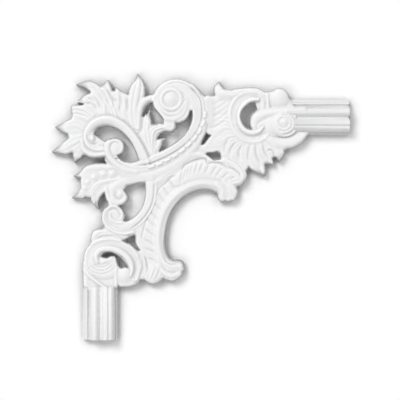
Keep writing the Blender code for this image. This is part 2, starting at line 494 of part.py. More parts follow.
def inner_arch(r):
    """The arch that faces the panel: rolled inner rim, two feathered leaves and their curled ends."""
    # bands behind the leaves
    r.sweep([(151, 186), (160, 179.6), (171, 173), (180, 166.4), (188, 159), (196, 155), (205, 156.6),
             (213, 162)], [3, 4.8, 5.2, 5.2, 5.2, 4.4, 3.8, 2.5], 9.9, leaning(0.3), moat=0.25)
    r.sweep([(208, 160), (215, 160.8), (224, 161), (232, 164), (239.2, 169.6), (242.6, 175), (240, 180),
             (233, 183)], [2, 3, 4, 5.2, 5.4, 5, 4.2, 2.4], 9.9, leaning(0.2), moat=0.25)
    r.crease([(224, 158.4), (233, 160.8), (240.4, 167), (244.4, 174), (243.4, 180)], 0.7, 0.45)
    # smooth hollow between leaves and rim, then the rolled inner rim itself
    arch = [(221.5, 197), (220.4, 190.6), (215.6, 186.4), (209.5, 184.6), (203, 184.2), (194.5, 185.8),
            (185.3, 189.8), (176.8, 196), (169.8, 203.9), (164.6, 213), (161.4, 222.8), (159.8, 233),
            (159.6, 244), (161.4, 254.2), (166, 262), (173, 265), (179, 265)]
    r.sweep(arch, [4, 5] + [6] * 12 + [5.6, 5.4, 5], [9.6, 10] + [10.2] * 12 + [10.2, 10, 9.6],
            arch_section, edge=[6.6] * 17, moat=0.1)
    # the leaves' soft body, and the lines between their barbs
    r.sweep([(236, 176), (222, 173), (205, 170.5), (190, 173), (177, 181)], [6, 9, 10, 9, 6], 10,
            flat_section, edge=GROUND)
    for line in between([(180, 187), (190, 178), (204, 174), (218, 177), (230, 183.6)],
                        [(181.6, 169), (190, 163.5), (203, 160.8), (220, 165), (237.6, 177)], 12):
        r.crease(line, 1.1, 0.6)
    for line in between([(176, 191), (166.6, 203), (159.6, 217), (155.8, 232), (155, 247), (158, 262)],
                        [(168, 179), (158, 191), (150.6, 206), (144.8, 222), (142.6, 240), (146.6, 258)],
                        10):
        r.crease(line, 1.2, 0.5)
    # the upper leaf's edge
    r.crease([(181.6, 171), (184.4, 165.8), (190, 162.4), (198, 159.4), (205.6, 159.2), (207.4, 163.6),
              (213, 162.6), (220, 163.4), (226.4, 167), (233, 169), (239, 173.4), (240.6, 177)], 0.8, 0.75)
    r.crease([(178, 176), (171.6, 177), (166, 183.4), (159.6, 188.6), (156, 196), (153, 207), (147.6, 218),
              (143.6, 230), (141, 242)], 0.8, 0.48)
    # curled ends of the rim
    for path in [
        [(217, 183.6), (221.4, 188), (223, 193.5), (222.4, 198)],
        [(223, 181), (228, 186), (229.6, 192), (228.4, 198)],
        [(230, 181.4), (231.4, 186), (234, 191.5), (232.6, 197)],
    ]:
        r.sweep(path, [3.6, 4.2, 4.4, 4], [10, 10, 9.6, 8.4], soft_section, edge=8.4, moat=0.2)
    for path in [
        [(158, 258), (163, 266.5), (170.5, 270), (180.4, 268.6)],
        [(158, 266), (163.5, 272.6), (172, 276), (178.6, 273.6)],
    ]:
        r.sweep(path, [3.4, 5.2, 5.4, 4], [9.8, 9.9, 9.8, 9.2], soft_section, edge=8.6, moat=0.2)
    for line in ([(163.6, 255), (166.6, 261.4), (172, 264), (179.4, 262.6)],
                 [(160, 262), (164.6, 269.4), (172, 272.6), (179.6, 270.6)],
                 [(160, 272), (165, 277), (172, 278.6), (178, 276.4)]):
        r.crease(line, 1.0, 0.55)
    # the rounded foot between arch and plate
    r.dome((152.6, 274), (9, 10.6), 10.4, soft_section, edge=8.8, moat=0.3)
    for x in (149, 153.6, 158):
        r.crease([(x - 3, 280), (x, 274), (x + 2.4, 266)], 0.9, 0.38)
    r.crease([(144, 255), (146.6, 261), (147.6, 268), (146.4, 276)], 0.8, 0.75)


def shell(r):
    """The leaf shell round the crescent hole, where the ornament runs into the level arm."""
    for path, width, top in [
        ([(234, 123), (224, 120), (214, 121.6), (207.6, 128.4)], 5, 9.8),
        ([(235, 130), (226, 127.6), (217, 131.6), (210, 138)], 5.4, 9.9),
        ([(237, 135.6), (228, 136.6), (219, 142), (208.4, 147.4)], 6, 9.9),
        ([(241, 139), (232, 144), (226, 150.4), (224, 156)], 5.4, 9.8),
        ([(245, 141), (237.6, 148.6), (233, 156), (236, 164)], 5, 9.8),
        ([(249, 141.6), (243.6, 152), (243.6, 162), (246.6, 171)], 5, 9.7),
        ([(254, 141), (252.6, 154), (257, 165), (265, 175.6)], 9.4, 10),
        ([(260, 141), (262, 152), (266.6, 159), (272.8, 164.4)], 7, 9.9),
        ([(267, 139), (274, 146), (278.8, 154), (279.6, 161.6)], 7.6, 9.9),
    ]:
        lobe(r, path, width, top)
    # long strokes that run in from the left
    for k in range(STROKES):
        r.crease([(206.4, 100.6 + 5.4 * k), (218, 102.8 + 5.2 * k), (227, 99.6 + 5.2 * k),
                  (232.6, 93 + 5.6 * k)], 0.9, 0.5)
    # furrows between the downward lobes
    for line in ([(229, 138), (225, 146), (224, 154)], [(236, 141), (231, 149), (229.6, 158)],
                 [(243, 143), (239, 153), (239.4, 163)],
                 [(250, 144), (248, 154), (248.6, 164)], [(256, 144), (256.4, 154), (260.4, 164.6)],
                 [(263, 143), (264.8, 151.6), (269.6, 159.4)]):
        r.crease(line, 1.0, 0.55)
    # crescent collar under the small volute
    r.sweep([(266, 136.6), (278, 142.2), (290, 142), (299, 138), (306.6, 131.6)], [4, 6, 6.8, 6, 3.4],
            [10, 10, 10, 9.8, 9], leaning(-0.2), moat=0.25)
    r.crease([(267, 151), (270.6, 150), (273.2, 152.6), (274.4, 157)], 0.9, 0.75)
    # the horn and the wave that runs from it over the ring
    r.sweep([(266, 97), (256, 92.6), (244, 92.8), (231, 95), (220.4, 93.2), (218.4, 88), (219, 83.2)],
            [4, 5, 5, 5.4, 6.2, 5, 1.8], [10.2, 10.4, 10.4, 10.4, 10, 9.2, 7.4], leaning(-0.3), moat=0.25)
    r.crease([(262, 92.6), (252, 90.4), (241, 91.8), (231, 93.2), (223.6, 90.4)], 0.7, 0.38)
    # outer ring, trough and bright rim round the hole
    r.sweep([(263, 98.5), (254, 95.6), (245, 97.4), (238, 102.8), (234.4, 111), (234.8, 121), (238.6, 130),
             (246, 136.4), (255, 138), (263, 134.5), (267.5, 127), (266, 119)],
            [3, 4.8, 5.6, 5.8, 5.8, 5.8, 5.8, 5.8, 5.6, 5.2, 4.6, 3.8], 10.4, dished_section, edge=8.4,
            moat=0.25)
    r.sweep([(258, 99.4), (250, 100.2), (243.4, 105.3), (239.4, 113.5), (239.8, 122.5), (244.2, 129.6),
             (251, 132.6), (258, 131.6), (263, 127.5)],
            [2.2, 2.8, 2.8, 2.8, 2.8, 3.2, 3.4, 2.8, 1.8], 11.8, leaning(0.1), edge=9.4)
    # lobes between ring and knob
    r.sweep([(262.5, 110), (262.4, 102), (260, 97)], [4.4, 4.6, 3.4], [10.2, 10.4, 10], soft_section,
            moat=0.25)
    r.sweep([(267.8, 110), (267.8, 102), (267.2, 95.6)], 1.7, [10.6, 10.8, 10], soft_section, edge=9.6,
            moat=0.5)
    r.dome((279.4, 98.6), (10, 10.6), 11.6, soft_section, edge=9, moat=0.9)
    # the husk inside the ring: leaf turns round the eye of the shell
    r.dome((262, 122), (12.4, 11), 10.4, flat_section, edge=9.8)
    for line in ([(286, 118), (274, 118.6), (262, 120.4), (256.6, 125), (257, 130.4)],
                 [(276, 122.6), (267, 124.4), (262, 128.6)],
                 [(290, 113.8), (274, 115), (263, 117), (255.4, 121)],
                 [(271, 132), (268, 127.6), (264.4, 133.6)]):
        r.crease(line, 0.8, 0.45)
    # arm's ridge winding into the eye of the shell
    r.sweep([(304, 110.6), (288, 111.6), (274, 112.6), (262.5, 115), (255.4, 119.4), (253.6, 125)],
            [5, 5, 4.6, 4.2, 3.6, 2], [12.7, 12.9, 12.1, 11.4, 10.9, 10.4], soft_section, edge=10.2,
            moat=0.25)
    # the small volute
    r.dome((276, 124.4), (13, 11.4), 12.4, soft_section, edge=10)
    r.dome((284, 123.6), (13.6, 12.6), 13.5, flat_section, edge=12.6)
    r.ring((284.6, 123.6), 10.8, 0.9, 0.9, -75, 110)
    r.ring((283.9, 123.2), 8.2, 0.9, 0.6)
    r.ring((283.7, 122.8), 5.0, 0.8, 0.6)
    r.dome((283.6, 122.4), 3.2, 14.4, soft_section, edge=13)


def lower_shell(r):
    """The shell round the second crescent hole, where the ornament runs into the upright arm."""
    # leaf flap on the outer side
    r.sweep([(126, 238), (114, 235.6), (104, 233.4), (97, 234.4), (94.2, 239.4)], [3, 4, 4.8, 5.4, 4],
            [9.2, 9.6, 9.9, 9.8, 9], leaning(-0.3), moat=0.25)
    r.crease([(97, 241.5), (101, 236.8), (108, 235.6), (118, 236.2)], 0.7, 0.45)
    r.crease([(96, 236), (102, 232.6), (110, 232.6)], 0.7, 0.3)
    # outer hollow band
    r.sweep([(135, 278), (137, 267), (133.6, 256.6), (127, 249), (118, 244.2), (107, 243), (97.6, 245.4),
             (90.8, 251), (88.4, 259), (90.6, 267), (96.5, 271.6), (103.5, 270.5)],
            [3, 4, 4.8, 5, 5.2, 5.2, 5.2, 5.2, 5, 4.4, 3.6, 2], 10.4, dished_section, edge=8.4, moat=0.25)
    # bright rim of the hole
    r.sweep([(97.4, 262), (96.3, 255.6), (99.8, 250.4), (107.5, 248.6), (116.5, 250), (124.5, 254.6),
             (130.3, 262), (131.9, 268.5), (131, 275.5)],
            [1.8, 2.4, 2.6, 2.8, 3, 3.2, 3.2, 2.8, 1.6], 11.8, leaning(0.1), edge=9.4)
    # the leaf that curls up inside it
    r.dome((104, 266), (16, 12), 10, flat_section, edge=9.4)
    r.sweep([(97, 263), (104, 261.6), (110, 258.4)], [3, 3.6, 2.4], [10.4, 10.6, 10.4], soft_section,
            edge=9.8)
    for size in (6.4, 9.4, 12.8, 16.4):
        r.ring((101.6, 258.6), (size, size * 0.92), 0.8, 0.3, 35, 175)
    # knob, and the thin ridge beside it
    r.dome((125, 275), (11, 12), 9.6, soft_section, edge=9)
    r.dome((124.4, 275), (7.2, 7.6), 11, soft_section, edge=9.4, moat=0.3)
    r.sweep([(116.3, 268), (115.9, 277), (116.4, 287)], [1.5, 1.7, 1.7], 10.2, soft_section, edge=9)
    r.sweep([(121, 284.6), (130, 284), (138, 279)], [3, 3, 2.6], 9, soft_section, edge=8)
    # plate between knob and arch, with fine upright lines
    for x in (138.4, 141.6, 144.8):
        r.crease([(x - 1, 254), (x, 264), (x - 0.6, 276)], 0.6, -0.38)
    # fillet that winds off the arm
    r.sweep([(83.5, 262), (84.8, 269), (89.5, 275.6), (96.5, 281.3), (105, 287.5)], [1, 2, 2.2, 2.2, 1.8],
            [8.6, 9.6, 10.2, 10.4, 10.2], soft_section, edge=8.6, moat=0.25)
    r.sweep([(84.4, 268), (86.5, 279), (92, 288)], [2.4, 4, 5], [8, 9, 9.6], soft_section, edge=7.6)


def openings(r):
    """The holes that go right through. Each outline is made of smooth stretches that meet at corners."""
    r.cut([(94, 134.6), (95, 131), (100, 127.6), (108, 126), (117, 128.6), (125, 134.6), (131, 142),
           (135.5, 151), (138.8, 160.3)],
          [(138.8, 160.3), (135, 161.8), (130, 162.4), (124, 161.8), (120, 159.3), (117, 155.4)],
          [(117, 155.4), (120.5, 154), (124, 151), (125, 146.5), (123.8, 141.6), (120, 138.6),
           (114.5, 137.8), (109, 139), (105, 141.8)],
          [(105, 141.8), (99.6, 138.4), (94, 134.6)])
    r.cut([(151.7, 102.6), (154, 107), (157.8, 112), (162, 117), (163.8, 120)],
          [(163.8, 120), (163.2, 124.4)],
          [(163.2, 124.2), (158, 123.2), (152.6, 124.4)], [(152.6, 124.4), (153.3, 119), (152, 114),
                  (149.3, 110.6), (146.3, 113.5), (143.8, 117), (141.8, 116.4)],
          [(141.8, 116.4), (143, 111.5), (146.2, 106), (151.7, 102.6)])
    r.cut([(190.2, 110.8), (192.2, 110.8)], [(192.2, 110.8), (192.4, 118), (190.3, 126), (186, 133.5),
                                             (180, 139.8), (173, 144.8), (167, 148.3), (162, 151.4)],
          [(162, 151.4), (161.4, 149.5), (163, 145), (165, 138.6)],
          [(165, 138.6), (160.5, 139), (156.4, 140.4)],
          [(156.4, 140.4), (157.8, 136.5), (160.6, 132.8)], [(160.6, 132.8), (167, 133), (172.3, 131.5),
                  (175.6, 127.5), (176.6, 124.2)],
          [(176.6, 124.2), (180.5, 122.5), (185, 120.2), (188, 116.6), (190.2, 110.8)])
    r.cut([(206.3, 132.3), (208.6, 134.2), (211.5, 135.2)], [(211.5, 135.2), (207.5, 140), (203.3, 144.8)],
          [(203.3, 144.8), (200.7, 145)], [(200.7, 145), (202.3, 140), (204.3, 136), (206.3, 132.3)])
    r.cut([(205.8, 154.6), (206.8, 152.9), (213, 152.2), (217.6, 150.9)],
          [(217.6, 150.9), (219.3, 153.5), (221.4, 159.4)], [(221.4, 159.4), (214, 160.6)],
          [(214, 160.6), (210, 157.4), (205.8, 154.6)])
    r.cut([(145.4, 182.8), (145.8, 190), (144.8, 200), (141.4, 209), (136, 215.6), (130.4, 219.8),
           (126, 221.6), (123.4, 221)],
          [(123.4, 221), (125, 216), (125.6, 211), (124.4, 207), (122.6, 205.2)],
          [(122.6, 205.2), (126, 202.6), (128, 198.8), (127.2, 194.8), (124.5, 191.6), (123.6, 189.6)],
          [(123.6, 189.6), (127, 187), (132, 184.6), (138, 182.8), (145.4, 182.8)])
    r.cut([(123.7, 239.8), (129, 237.2), (134.6, 234.3)], [(134.6, 234.3), (135.6, 241.5), (138, 247),
            (140.8, 250.4)], [(140.8, 250.4), (138, 251.2)],
          [(138, 251.2), (134.5, 248), (130, 244.2), (123.7, 239.8)])
    r.cut([(100.8, 256.4), (103.5, 253.2), (108, 252), (113, 252.8), (119, 256.3), (124, 261.3),
           (127.4, 265.6), (128.3, 268.4)],
          [(128.3, 268.4), (125, 267.3), (121, 268.3), (118.4, 266), (117, 262.5), (116, 258.6),
           (114.6, 256.4)],
          [(114.6, 256.4), (111, 256.4), (107, 258.1), (103.5, 257.6), (100.8, 256.4)])
    r.cut([(255, 102.6), (257.4, 109.8)], [(257.4, 109.8), (252.5, 112.8), (249.2, 116.6), (248.5, 120.8),
                                           (249.8, 125.2), (251.2, 128.8)], [(251.2, 128.8), (250, 129.7)],
          [(250, 129.7), (246, 127.6), (242, 122.6), (240.3, 116.6), (242, 110.6), (246, 106), (250.5, 103),
           (255, 102.6)])


# The moulding's profile, from its outer edge: smooth stretches that meet at crisp arrises
PROFILE_RUNS = [
    [(0, 0), (0, 5.2)],
    [(0, 5.2), (1.9, 5.2)],
    [(1.9, 5.2), (2.3, 6.6), (3.5, 7.4), (4.7, 6.9), (5.3, 6.0)],
    [(5.3, 6.0), (7.4, 8.0), (9.4, 10.8), (11.8, 12.6), (14.2, 12.3), (16.2, 10.6), (17.6, 9.3)],
    [(17.6, 9.3), (19.2, 10.6), (21.4, 12.5), (23.4, 12.8), (25.1, 12.7)],
    [(25.1, 12.7), (25.4, 11.8), (26.1, 11.8)],
    [(26.1, 11.8), (26.8, 12.5), (29.0, 12.4), (31.0, 10.6), (32.0, 8.0), (32.3, 5.2)],
    [(32.3, 5.2), (34.5, 5.2)],
    [(34.5, 5.2), (34.5, 0)],
]


def arm_profile(smoothness):
    """Points (across, height) of the moulding, each stretch with so many points between its own."""
    points = [smooth_line(run, smoothness if len(run) > 2 else 1)[0][:-1] for run in PROFILE_RUNS]
    return [tuple(p) for p in np.vstack(points)] + [PROFILE_RUNS[-1][-1]]


def carve(step):
    """The whole ornament on its sheet, without the straight arms."""
    r = Relief(SHEET_LOW, SHEET_HIGH, step)
    for form in (ground, inner_arch, shell, lower_shell, corner_leaf, bead_pod, small_curl, snail_scroll,
                 great_scroll, openings):
        form(r)
    r.finish(EDGE_HEIGHT, EDGE_ROUNDING)
    return r


def place(x, y, depth):
    """A point of the sheet, at a depth in front of the wall, in the model's metres."""
    return ((x - CORNER[0]) * MM, -depth * RELIEF_DEPTH * MM, (CORNER[1] - y) * MM)


def relief_mesh(name, sheet, spare):
    """The relief as a closed mesh: carved front, walls along the outline, flat stock behind."""
    mesh = bmesh.new()
    inside = sheet.cover > 0
    made = {}

    def pair(key, x, y, height):
        if key not in made:
            made[key] = mesh.verts.new(place(x, y, height)), mesh.verts.new(place(x, y, -spare))
        return made[key]

    def corner(j, i):
        return pair((j, i), sheet.x[i], sheet.y[j], sheet.height[j, i])

    def crossing(a, b):
        (ja, ia), (jb, ib) = sorted((a, b))
        ca, cb = sheet.cover[ja, ia], sheet.cover[jb, ib]
        t = min(max(ca / (ca - cb), CROSSING_MARGIN), 1 - CROSSING_MARGIN)
        x = sheet.x[ia] + t * (sheet.x[ib] - sheet.x[ia])
        y = sheet.y[ja] + t * (sheet.y[jb] - sheet.y[ja])
        height = sheet.height[ja, ia] + t * (sheet.height[jb, ib] - sheet.height[ja, ia])
        return pair((ja, ia, jb, ib), x, y, height)

    touched = inside[:-1, :-1] | inside[1:, :-1] | inside[:-1, 1:] | inside[1:, 1:]
    for j, i in zip(*np.nonzero(touched)):
        ring = [(j, i), (j + 1, i), (j + 1, i + 1), (j, i + 1)]
        outline = []
        for a, b in zip(ring, ring[1:] + ring[:1]):
            if inside[a]:
                outline.append((corner(*a), False))
            if inside[a] != inside[b]:
                outline.append((crossing(a, b), bool(inside[a])))
        mesh.faces.new([p[0] for p, _ in outline])
        mesh.faces.new([p[1] for p, _ in reversed(outline)])
        for (a, leaves), (b, _) in zip(outline, outline[1:] + outline[:1]):
            if leaves:
                mesh.faces.new((a[0], a[1], b[1], b[0]))
    bmesh.ops.triangulate(mesh, faces=mesh.faces[:])
    bmesh.ops.recalc_face_normals(mesh, faces=mesh.faces[:])
    data = bpy.data.meshes.new(name)
    mesh.to_mesh(data)
    mesh.free()
    return data


def arm_mesh(name, level):
    """A straight length of the moulding, its profile extruded along one arm."""
    mesh = bmesh.new()
    start = ARM_ROOTS[0] if level else ARM_ROOTS[1]
    end = LEVEL_ARM_END if level else UPRIGHT_ARM_END
    outer = (CORNER[1] if level else CORNER[0]) - ARM_WIDTH / 2
    profile = arm_profile(ARM_SMOOTHNESS)
    rings = []
    for along in (start, end):
        ring = []
        for across, height in profile:
            depth = height if height else -ARM_SPARE
            sheet = (along, outer + across) if level else (outer + across, along)
            ring.append(mesh.verts.new(place(*sheet, depth)))
        rings.append(ring)
    for k in range(len(profile)):
        mesh.faces.new((rings[0][k - 1], rings[0][k], rings[1][k], rings[1][k - 1]))
    mesh.faces.new(rings[0])
    mesh.faces.new(reversed(rings[1]))
    bmesh.ops.triangulate(mesh, faces=mesh.faces[:])
    bmesh.ops.recalc_face_normals(mesh, faces=mesh.faces[:])
    data = bpy.data.meshes.new(name)
    mesh.to_mesh(data)
    mesh.free()
    return data


def cutter(name, data):
    """Puts a mesh in the scene as a guide for a Boolean, left out of the part."""
    guide = bpy.data.objects.new(name, data)
    bpy.context.collection.objects.link(guide)
    guide.hide_render = True
    guide.display_type = "WIRE"
    return guide


def boolean(owner, other, operation):
    modifier = owner.modifiers.new(other.name, "BOOLEAN")
    modifier.operation = operation
    modifier.solver = "MANIFOLD"
    modifier.object = other


def wall_block():
    """The wall itself: everything behind the plane of the back is cut away by it."""
    mesh = bmesh.new()
    bmesh.ops.create_cube(mesh, size=1)
    reach, thick = WALL_BLOCK
    bmesh.ops.scale(mesh, vec=(reach, thick, reach), verts=mesh.verts)
    bmesh.ops.translate(mesh, vec=(reach / 4, thick / 2, -reach / 4), verts=mesh.verts)
    data = bpy.data.meshes.new("wall_block")
    mesh.to_mesh(data)
    mesh.free()
    return data


def white_casting():
    """White primed polyurethane, the colour of the whole piece."""
    material = bpy.data.materials.new("white_casting")
    material.use_nodes = True
    shader = material.node_tree.nodes["Principled BSDF"]
    shader.inputs["Base Color"].default_value = (0.86, 0.86, 0.85, 1)
    shader.inputs["Roughness"].default_value = 0.5
    shader.inputs["Metallic"].default_value = 0
    return material


def main():
    for old in list(bpy.data.objects):
        bpy.data.objects.remove(old, do_unlink=True)
    sheet = carve(SHEET_STEP)
    data = relief_mesh("corner_piece", sheet, BACK_SPARE)
    data.materials.append(white_casting())
    piece = bpy.data.objects.new("corner_piece", data)
    bpy.context.collection.objects.link(piece)
    fewer = piece.modifiers.new("fewer_faces", "DECIMATE")
    fewer.ratio = FACES_KEPT / len(data.polygons)
    boolean(piece, cutter("level_arm", arm_mesh("level_arm", True)), "UNION")
    boolean(piece, cutter("upright_arm", arm_mesh("upright_arm", False)), "UNION")
    boolean(piece, cutter("wall_block", wall_block()), "DIFFERENCE")


main()
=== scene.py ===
"""The corner piece of a wall panel moulding as a finished white casting, on a pale wall in soft light.

The ornament is drawn at full size on a sheet in millimetres, x to the right and y down, as a carver's
drawing would be. CORNER is the place on the sheet where the centre lines of the two arms cross, and the
model's origin is there, on the wall. +X runs out along the level arm, +Z is up, and the front faces -Y.
"""

import math

import bmesh
import bpy
import numpy as np
from bpy.props import FloatProperty, FloatVectorProperty, PointerProperty
from bpy.types import Operator, Panel, PropertyGroup
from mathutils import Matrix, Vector


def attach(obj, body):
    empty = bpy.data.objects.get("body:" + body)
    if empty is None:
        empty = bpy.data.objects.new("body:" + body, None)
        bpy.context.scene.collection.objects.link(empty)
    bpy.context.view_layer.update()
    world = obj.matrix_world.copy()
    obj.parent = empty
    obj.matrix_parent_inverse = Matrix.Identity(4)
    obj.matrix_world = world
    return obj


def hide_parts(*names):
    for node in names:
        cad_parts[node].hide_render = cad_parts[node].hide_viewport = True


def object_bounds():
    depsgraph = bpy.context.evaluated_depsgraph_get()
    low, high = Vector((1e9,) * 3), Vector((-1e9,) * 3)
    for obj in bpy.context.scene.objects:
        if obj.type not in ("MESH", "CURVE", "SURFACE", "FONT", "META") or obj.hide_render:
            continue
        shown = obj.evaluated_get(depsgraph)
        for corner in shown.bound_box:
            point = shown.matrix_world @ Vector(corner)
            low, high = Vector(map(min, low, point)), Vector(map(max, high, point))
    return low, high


bl_info = {
    "name": "Panel moulding corner piece",
    "version": (1, 0, 0),
    "blender": (4, 5, 0),
    "location": "3D View > Sidebar > Moulding",
    "description": "Builds a carved corner piece for a wall panel moulding, primed white, on a studio wall",
    "category": "Mesh",
}

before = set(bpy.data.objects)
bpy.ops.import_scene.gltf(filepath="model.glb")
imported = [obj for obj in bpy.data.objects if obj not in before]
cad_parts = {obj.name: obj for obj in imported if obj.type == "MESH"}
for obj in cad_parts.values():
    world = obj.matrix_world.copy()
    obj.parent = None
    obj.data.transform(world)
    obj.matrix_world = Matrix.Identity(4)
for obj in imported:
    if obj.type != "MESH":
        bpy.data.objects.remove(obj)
CAD_LOW, CAD_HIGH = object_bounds()

MM = 0.001
CORNER = (100.0, 117.1)         # where the arms' centre lines cross on the drawing sheet
ARM_WIDTH = 34.5                # width of the straight moulding that the arms butt against
RELIEF_DEPTH = 1.2              # each drawn millimetre of height is so deep in the casting
ARM_ROOTS = (286.3, 286.7)      # where the straight arms start, x and y on the sheet
SHEET_LOW, SHEET_HIGH = (46, 68), (322, 312)    # the part of the sheet that carries ornament
EDGE_HEIGHT = 5.4               # height of the ornament's outer edge above the wall
EDGE_ROUNDING = 3.2             # how far in from its edge the ornament is rounded down
BACK_SPARE = 2.0                # stock behind the wall plane, cut off flat
ARM_SPARE = 3.0                 # the same behind the arms
WALL_BLOCK = (1.0, 0.05)        # side and thickness of the block that stands for the wall, m
CROSSING_MARGIN = 0.12          # least distance, in steps, between the outline and a measured point
ARM_SMOOTHNESS = 6              # points for each stretch of the moulding's profile
SHARP_ANGLE = 50                # faces that meet at a larger angle keep a crisp edge, degrees
# Painted shade: the primer is darkened towards the shade tint in hollows, along fine lines and on the sides
# near the wall, and painted lighter on ridges
HOLLOW_REACH, HOLLOW_DEPTH = 4.0, 2.5   # how far round, and how deep, the hollows are told from the rest
LINE_REACH, LINE_DEPTH = 1.6, 0.8       # the same for the fine lines
HOLLOW_SHADE, LINE_SHADE = 0.17, 0.23     # shares of the painted shade that hollows and fine lines take, and that ridges lose, which paints ridges lighter
NEUTRAL_SHADE = 0.11                     # share of the painted shade on plain surfaces
SIDE_TOP, SIDE_DEPTH = 8.7, 3.9 # heights at which the painted shade of the sides near the wall starts, and over which it grows
ARM_SIDE_TOP = 4.0              # the same on the arms, whose fillets are lower
BACK_FACING = 0.5               # faces that lean further than this to +Y belong to the flat back, which gets no painted shade
MOTTLE_DARK = 0.965             # darkest patch of the primer, as a share of its white
PATCHES_PER_METRE = 28.0
SKIN_PER_METRE = 900.0          # grains of the primer's fine skin
SKIN_DEPTH, SKIN_STRENGTH = 0.00012, 0.25
ROUGHNESS_SPREAD = 0.05         # how far the skin takes the roughness up and down
PRIMER_SHINE = 0.35

# The stage, m
VIEW_CENTRE = (200.0, 200.0)    # middle of the view on the drawing sheet, mm
VIEW_WIDTH = 0.4
CAMERA_LENS, CAMERA_SENSOR = 135.0, 36.0
MEAN_DEPTH = 0.009              # mean height of the carving, where the view is at its true width
WALL_HALF = 1.6                 # half the side of the wall and of the floor
FLOOR_ROUGHNESS = 0.9
WALL_GAP = 0.0004               # the wall stands just clear of the flat back
WALL_CONTACT = 0.001            # light that has come less far than this passes the wall
SOFT_LIGHTS = (                 # place round the camera's axis, degrees, and share of the light
    ("upper_left_light", 130, 0.6),
    ("upper_right_light", 45, 0.15),
    ("lower_left_light", 215, 0.15),
    ("lower_right_light", 315, 0.1),
)
PRINT_GAMMA = 0.5               # how much the picture's contrast is raised, as a catalogue print's is

# Carving on the sheet, mm
FAR = 1e3
TINY = 1e-9
SPAN_POINTS = 8                 # points for each stretch of a drawn curve
RING_POINTS = 25                # corners of a drawn ring, before it is smoothed
FORM_REACH, HOLE_REACH = 6, 12  # how far round a form and a hole their effect is worked out
KEPT_STEPS = 1.5                # how far outside the outline, in steps, the height is kept up
FIRST_STEP = 0.7                # how far inside the outline, in steps, the first point lies
BED = 8.2                       # height of the ground that the carved forms stand on
SOFTNESS = 0.7                  # how softly a form meets the one under it
HOLE_CRISPNESS = 1.7            # how much narrower the rounding is round a hole than at the outer edge
HOLE_MARGIN = 0.6               # how far each drawn hole is drawn in, for the rounding at its rim
HOLE_SIDE = 3.0                 # how far round a hole its sides are counted
CREASE_STRENGTH = 1.6           # how much deeper the fine lines are cut than drawn
CREASE_FADE, CREASE_END = 0.6, 0.15     # share of a stretch over which a line fades, and what is left of it
CREASE_SPILL = 2                # how far outside the outline a line may run
FINAL_BLUR = 0.45               # how far the finished surface is softened


def smooth_line(points, per_span=SPAN_POINTS):
    """A smooth curve through points: its positions, and the place of each along the drawn points."""
    p = np.array(points, float)
    if len(p) < 3:
        t = np.linspace(0, len(p) - 1, per_span * (len(p) - 1) + 1)
        k = np.minimum(t.astype(int), len(p) - 2)
        f = (t - k)[:, None]
        return p[k] * (1 - f) + p[k + 1] * f, t
    ends = np.vstack([2 * p[0] - p[1], p, 2 * p[-1] - p[-2]])
    out, place = [], []
    for i in range(len(p) - 1):
        a, b, c, d = ends[i : i + 4]
        f = np.arange(per_span)[:, None] / per_span
        ta, tb, tc = (np.linalg.norm(leg) ** 0.5 + TINY for leg in (b - a, c - b, d - c))
        mb = (b - a) / ta - (c - a) / (ta + tb) + (c - b) / tb
        mc = (c - b) / tb - (d - b) / (tb + tc) + (d - c) / tc
        mb, mc = mb * tb, mc * tb
        out.append(
            b * (1 - 3 * f**2 + 2 * f**3)
            + mb * (f - 2 * f**2 + f**3)
            + c * (3 * f**2 - 2 * f**3)
            + mc * (f**3 - f**2)
        )
        place.append(i + f[:, 0])
    out.append(p[-1:])
    place.append([len(p) - 1])
    return np.vstack(out), np.concatenate(place)


def closed_line(spans, per_span=SPAN_POINTS):
    """A closed outline. Each span is smooth, or straight if it is one point, up to the next one's first."""
    runs = [[*span, after[0]] for span, after in zip(spans, spans[1:] + spans[:1])]
    return np.vstack([smooth_line(run, per_span if len(run) > 2 else 1)[0][:-1] for run in runs])


# Sections across a band: the height, as a share, at u from -1 at one edge to 1 at the other

def round_section(u):
    return np.sqrt(np.maximum(0, 1 - u * u))


def soft_section(u):
    return np.maximum(0, 1 - u * u)


def flat_section(u):
    return np.maximum(0, 1 - np.abs(u) ** 5)


def leaning(top, sharp=2.0):
    """A convex section whose crest lies at u = top."""
    def section(u):
        side = np.where(u > top, (u - top) / (1 - top), (top - u) / (1 + top))
        return np.maximum(0, 1 - np.abs(side) ** sharp)
    return section


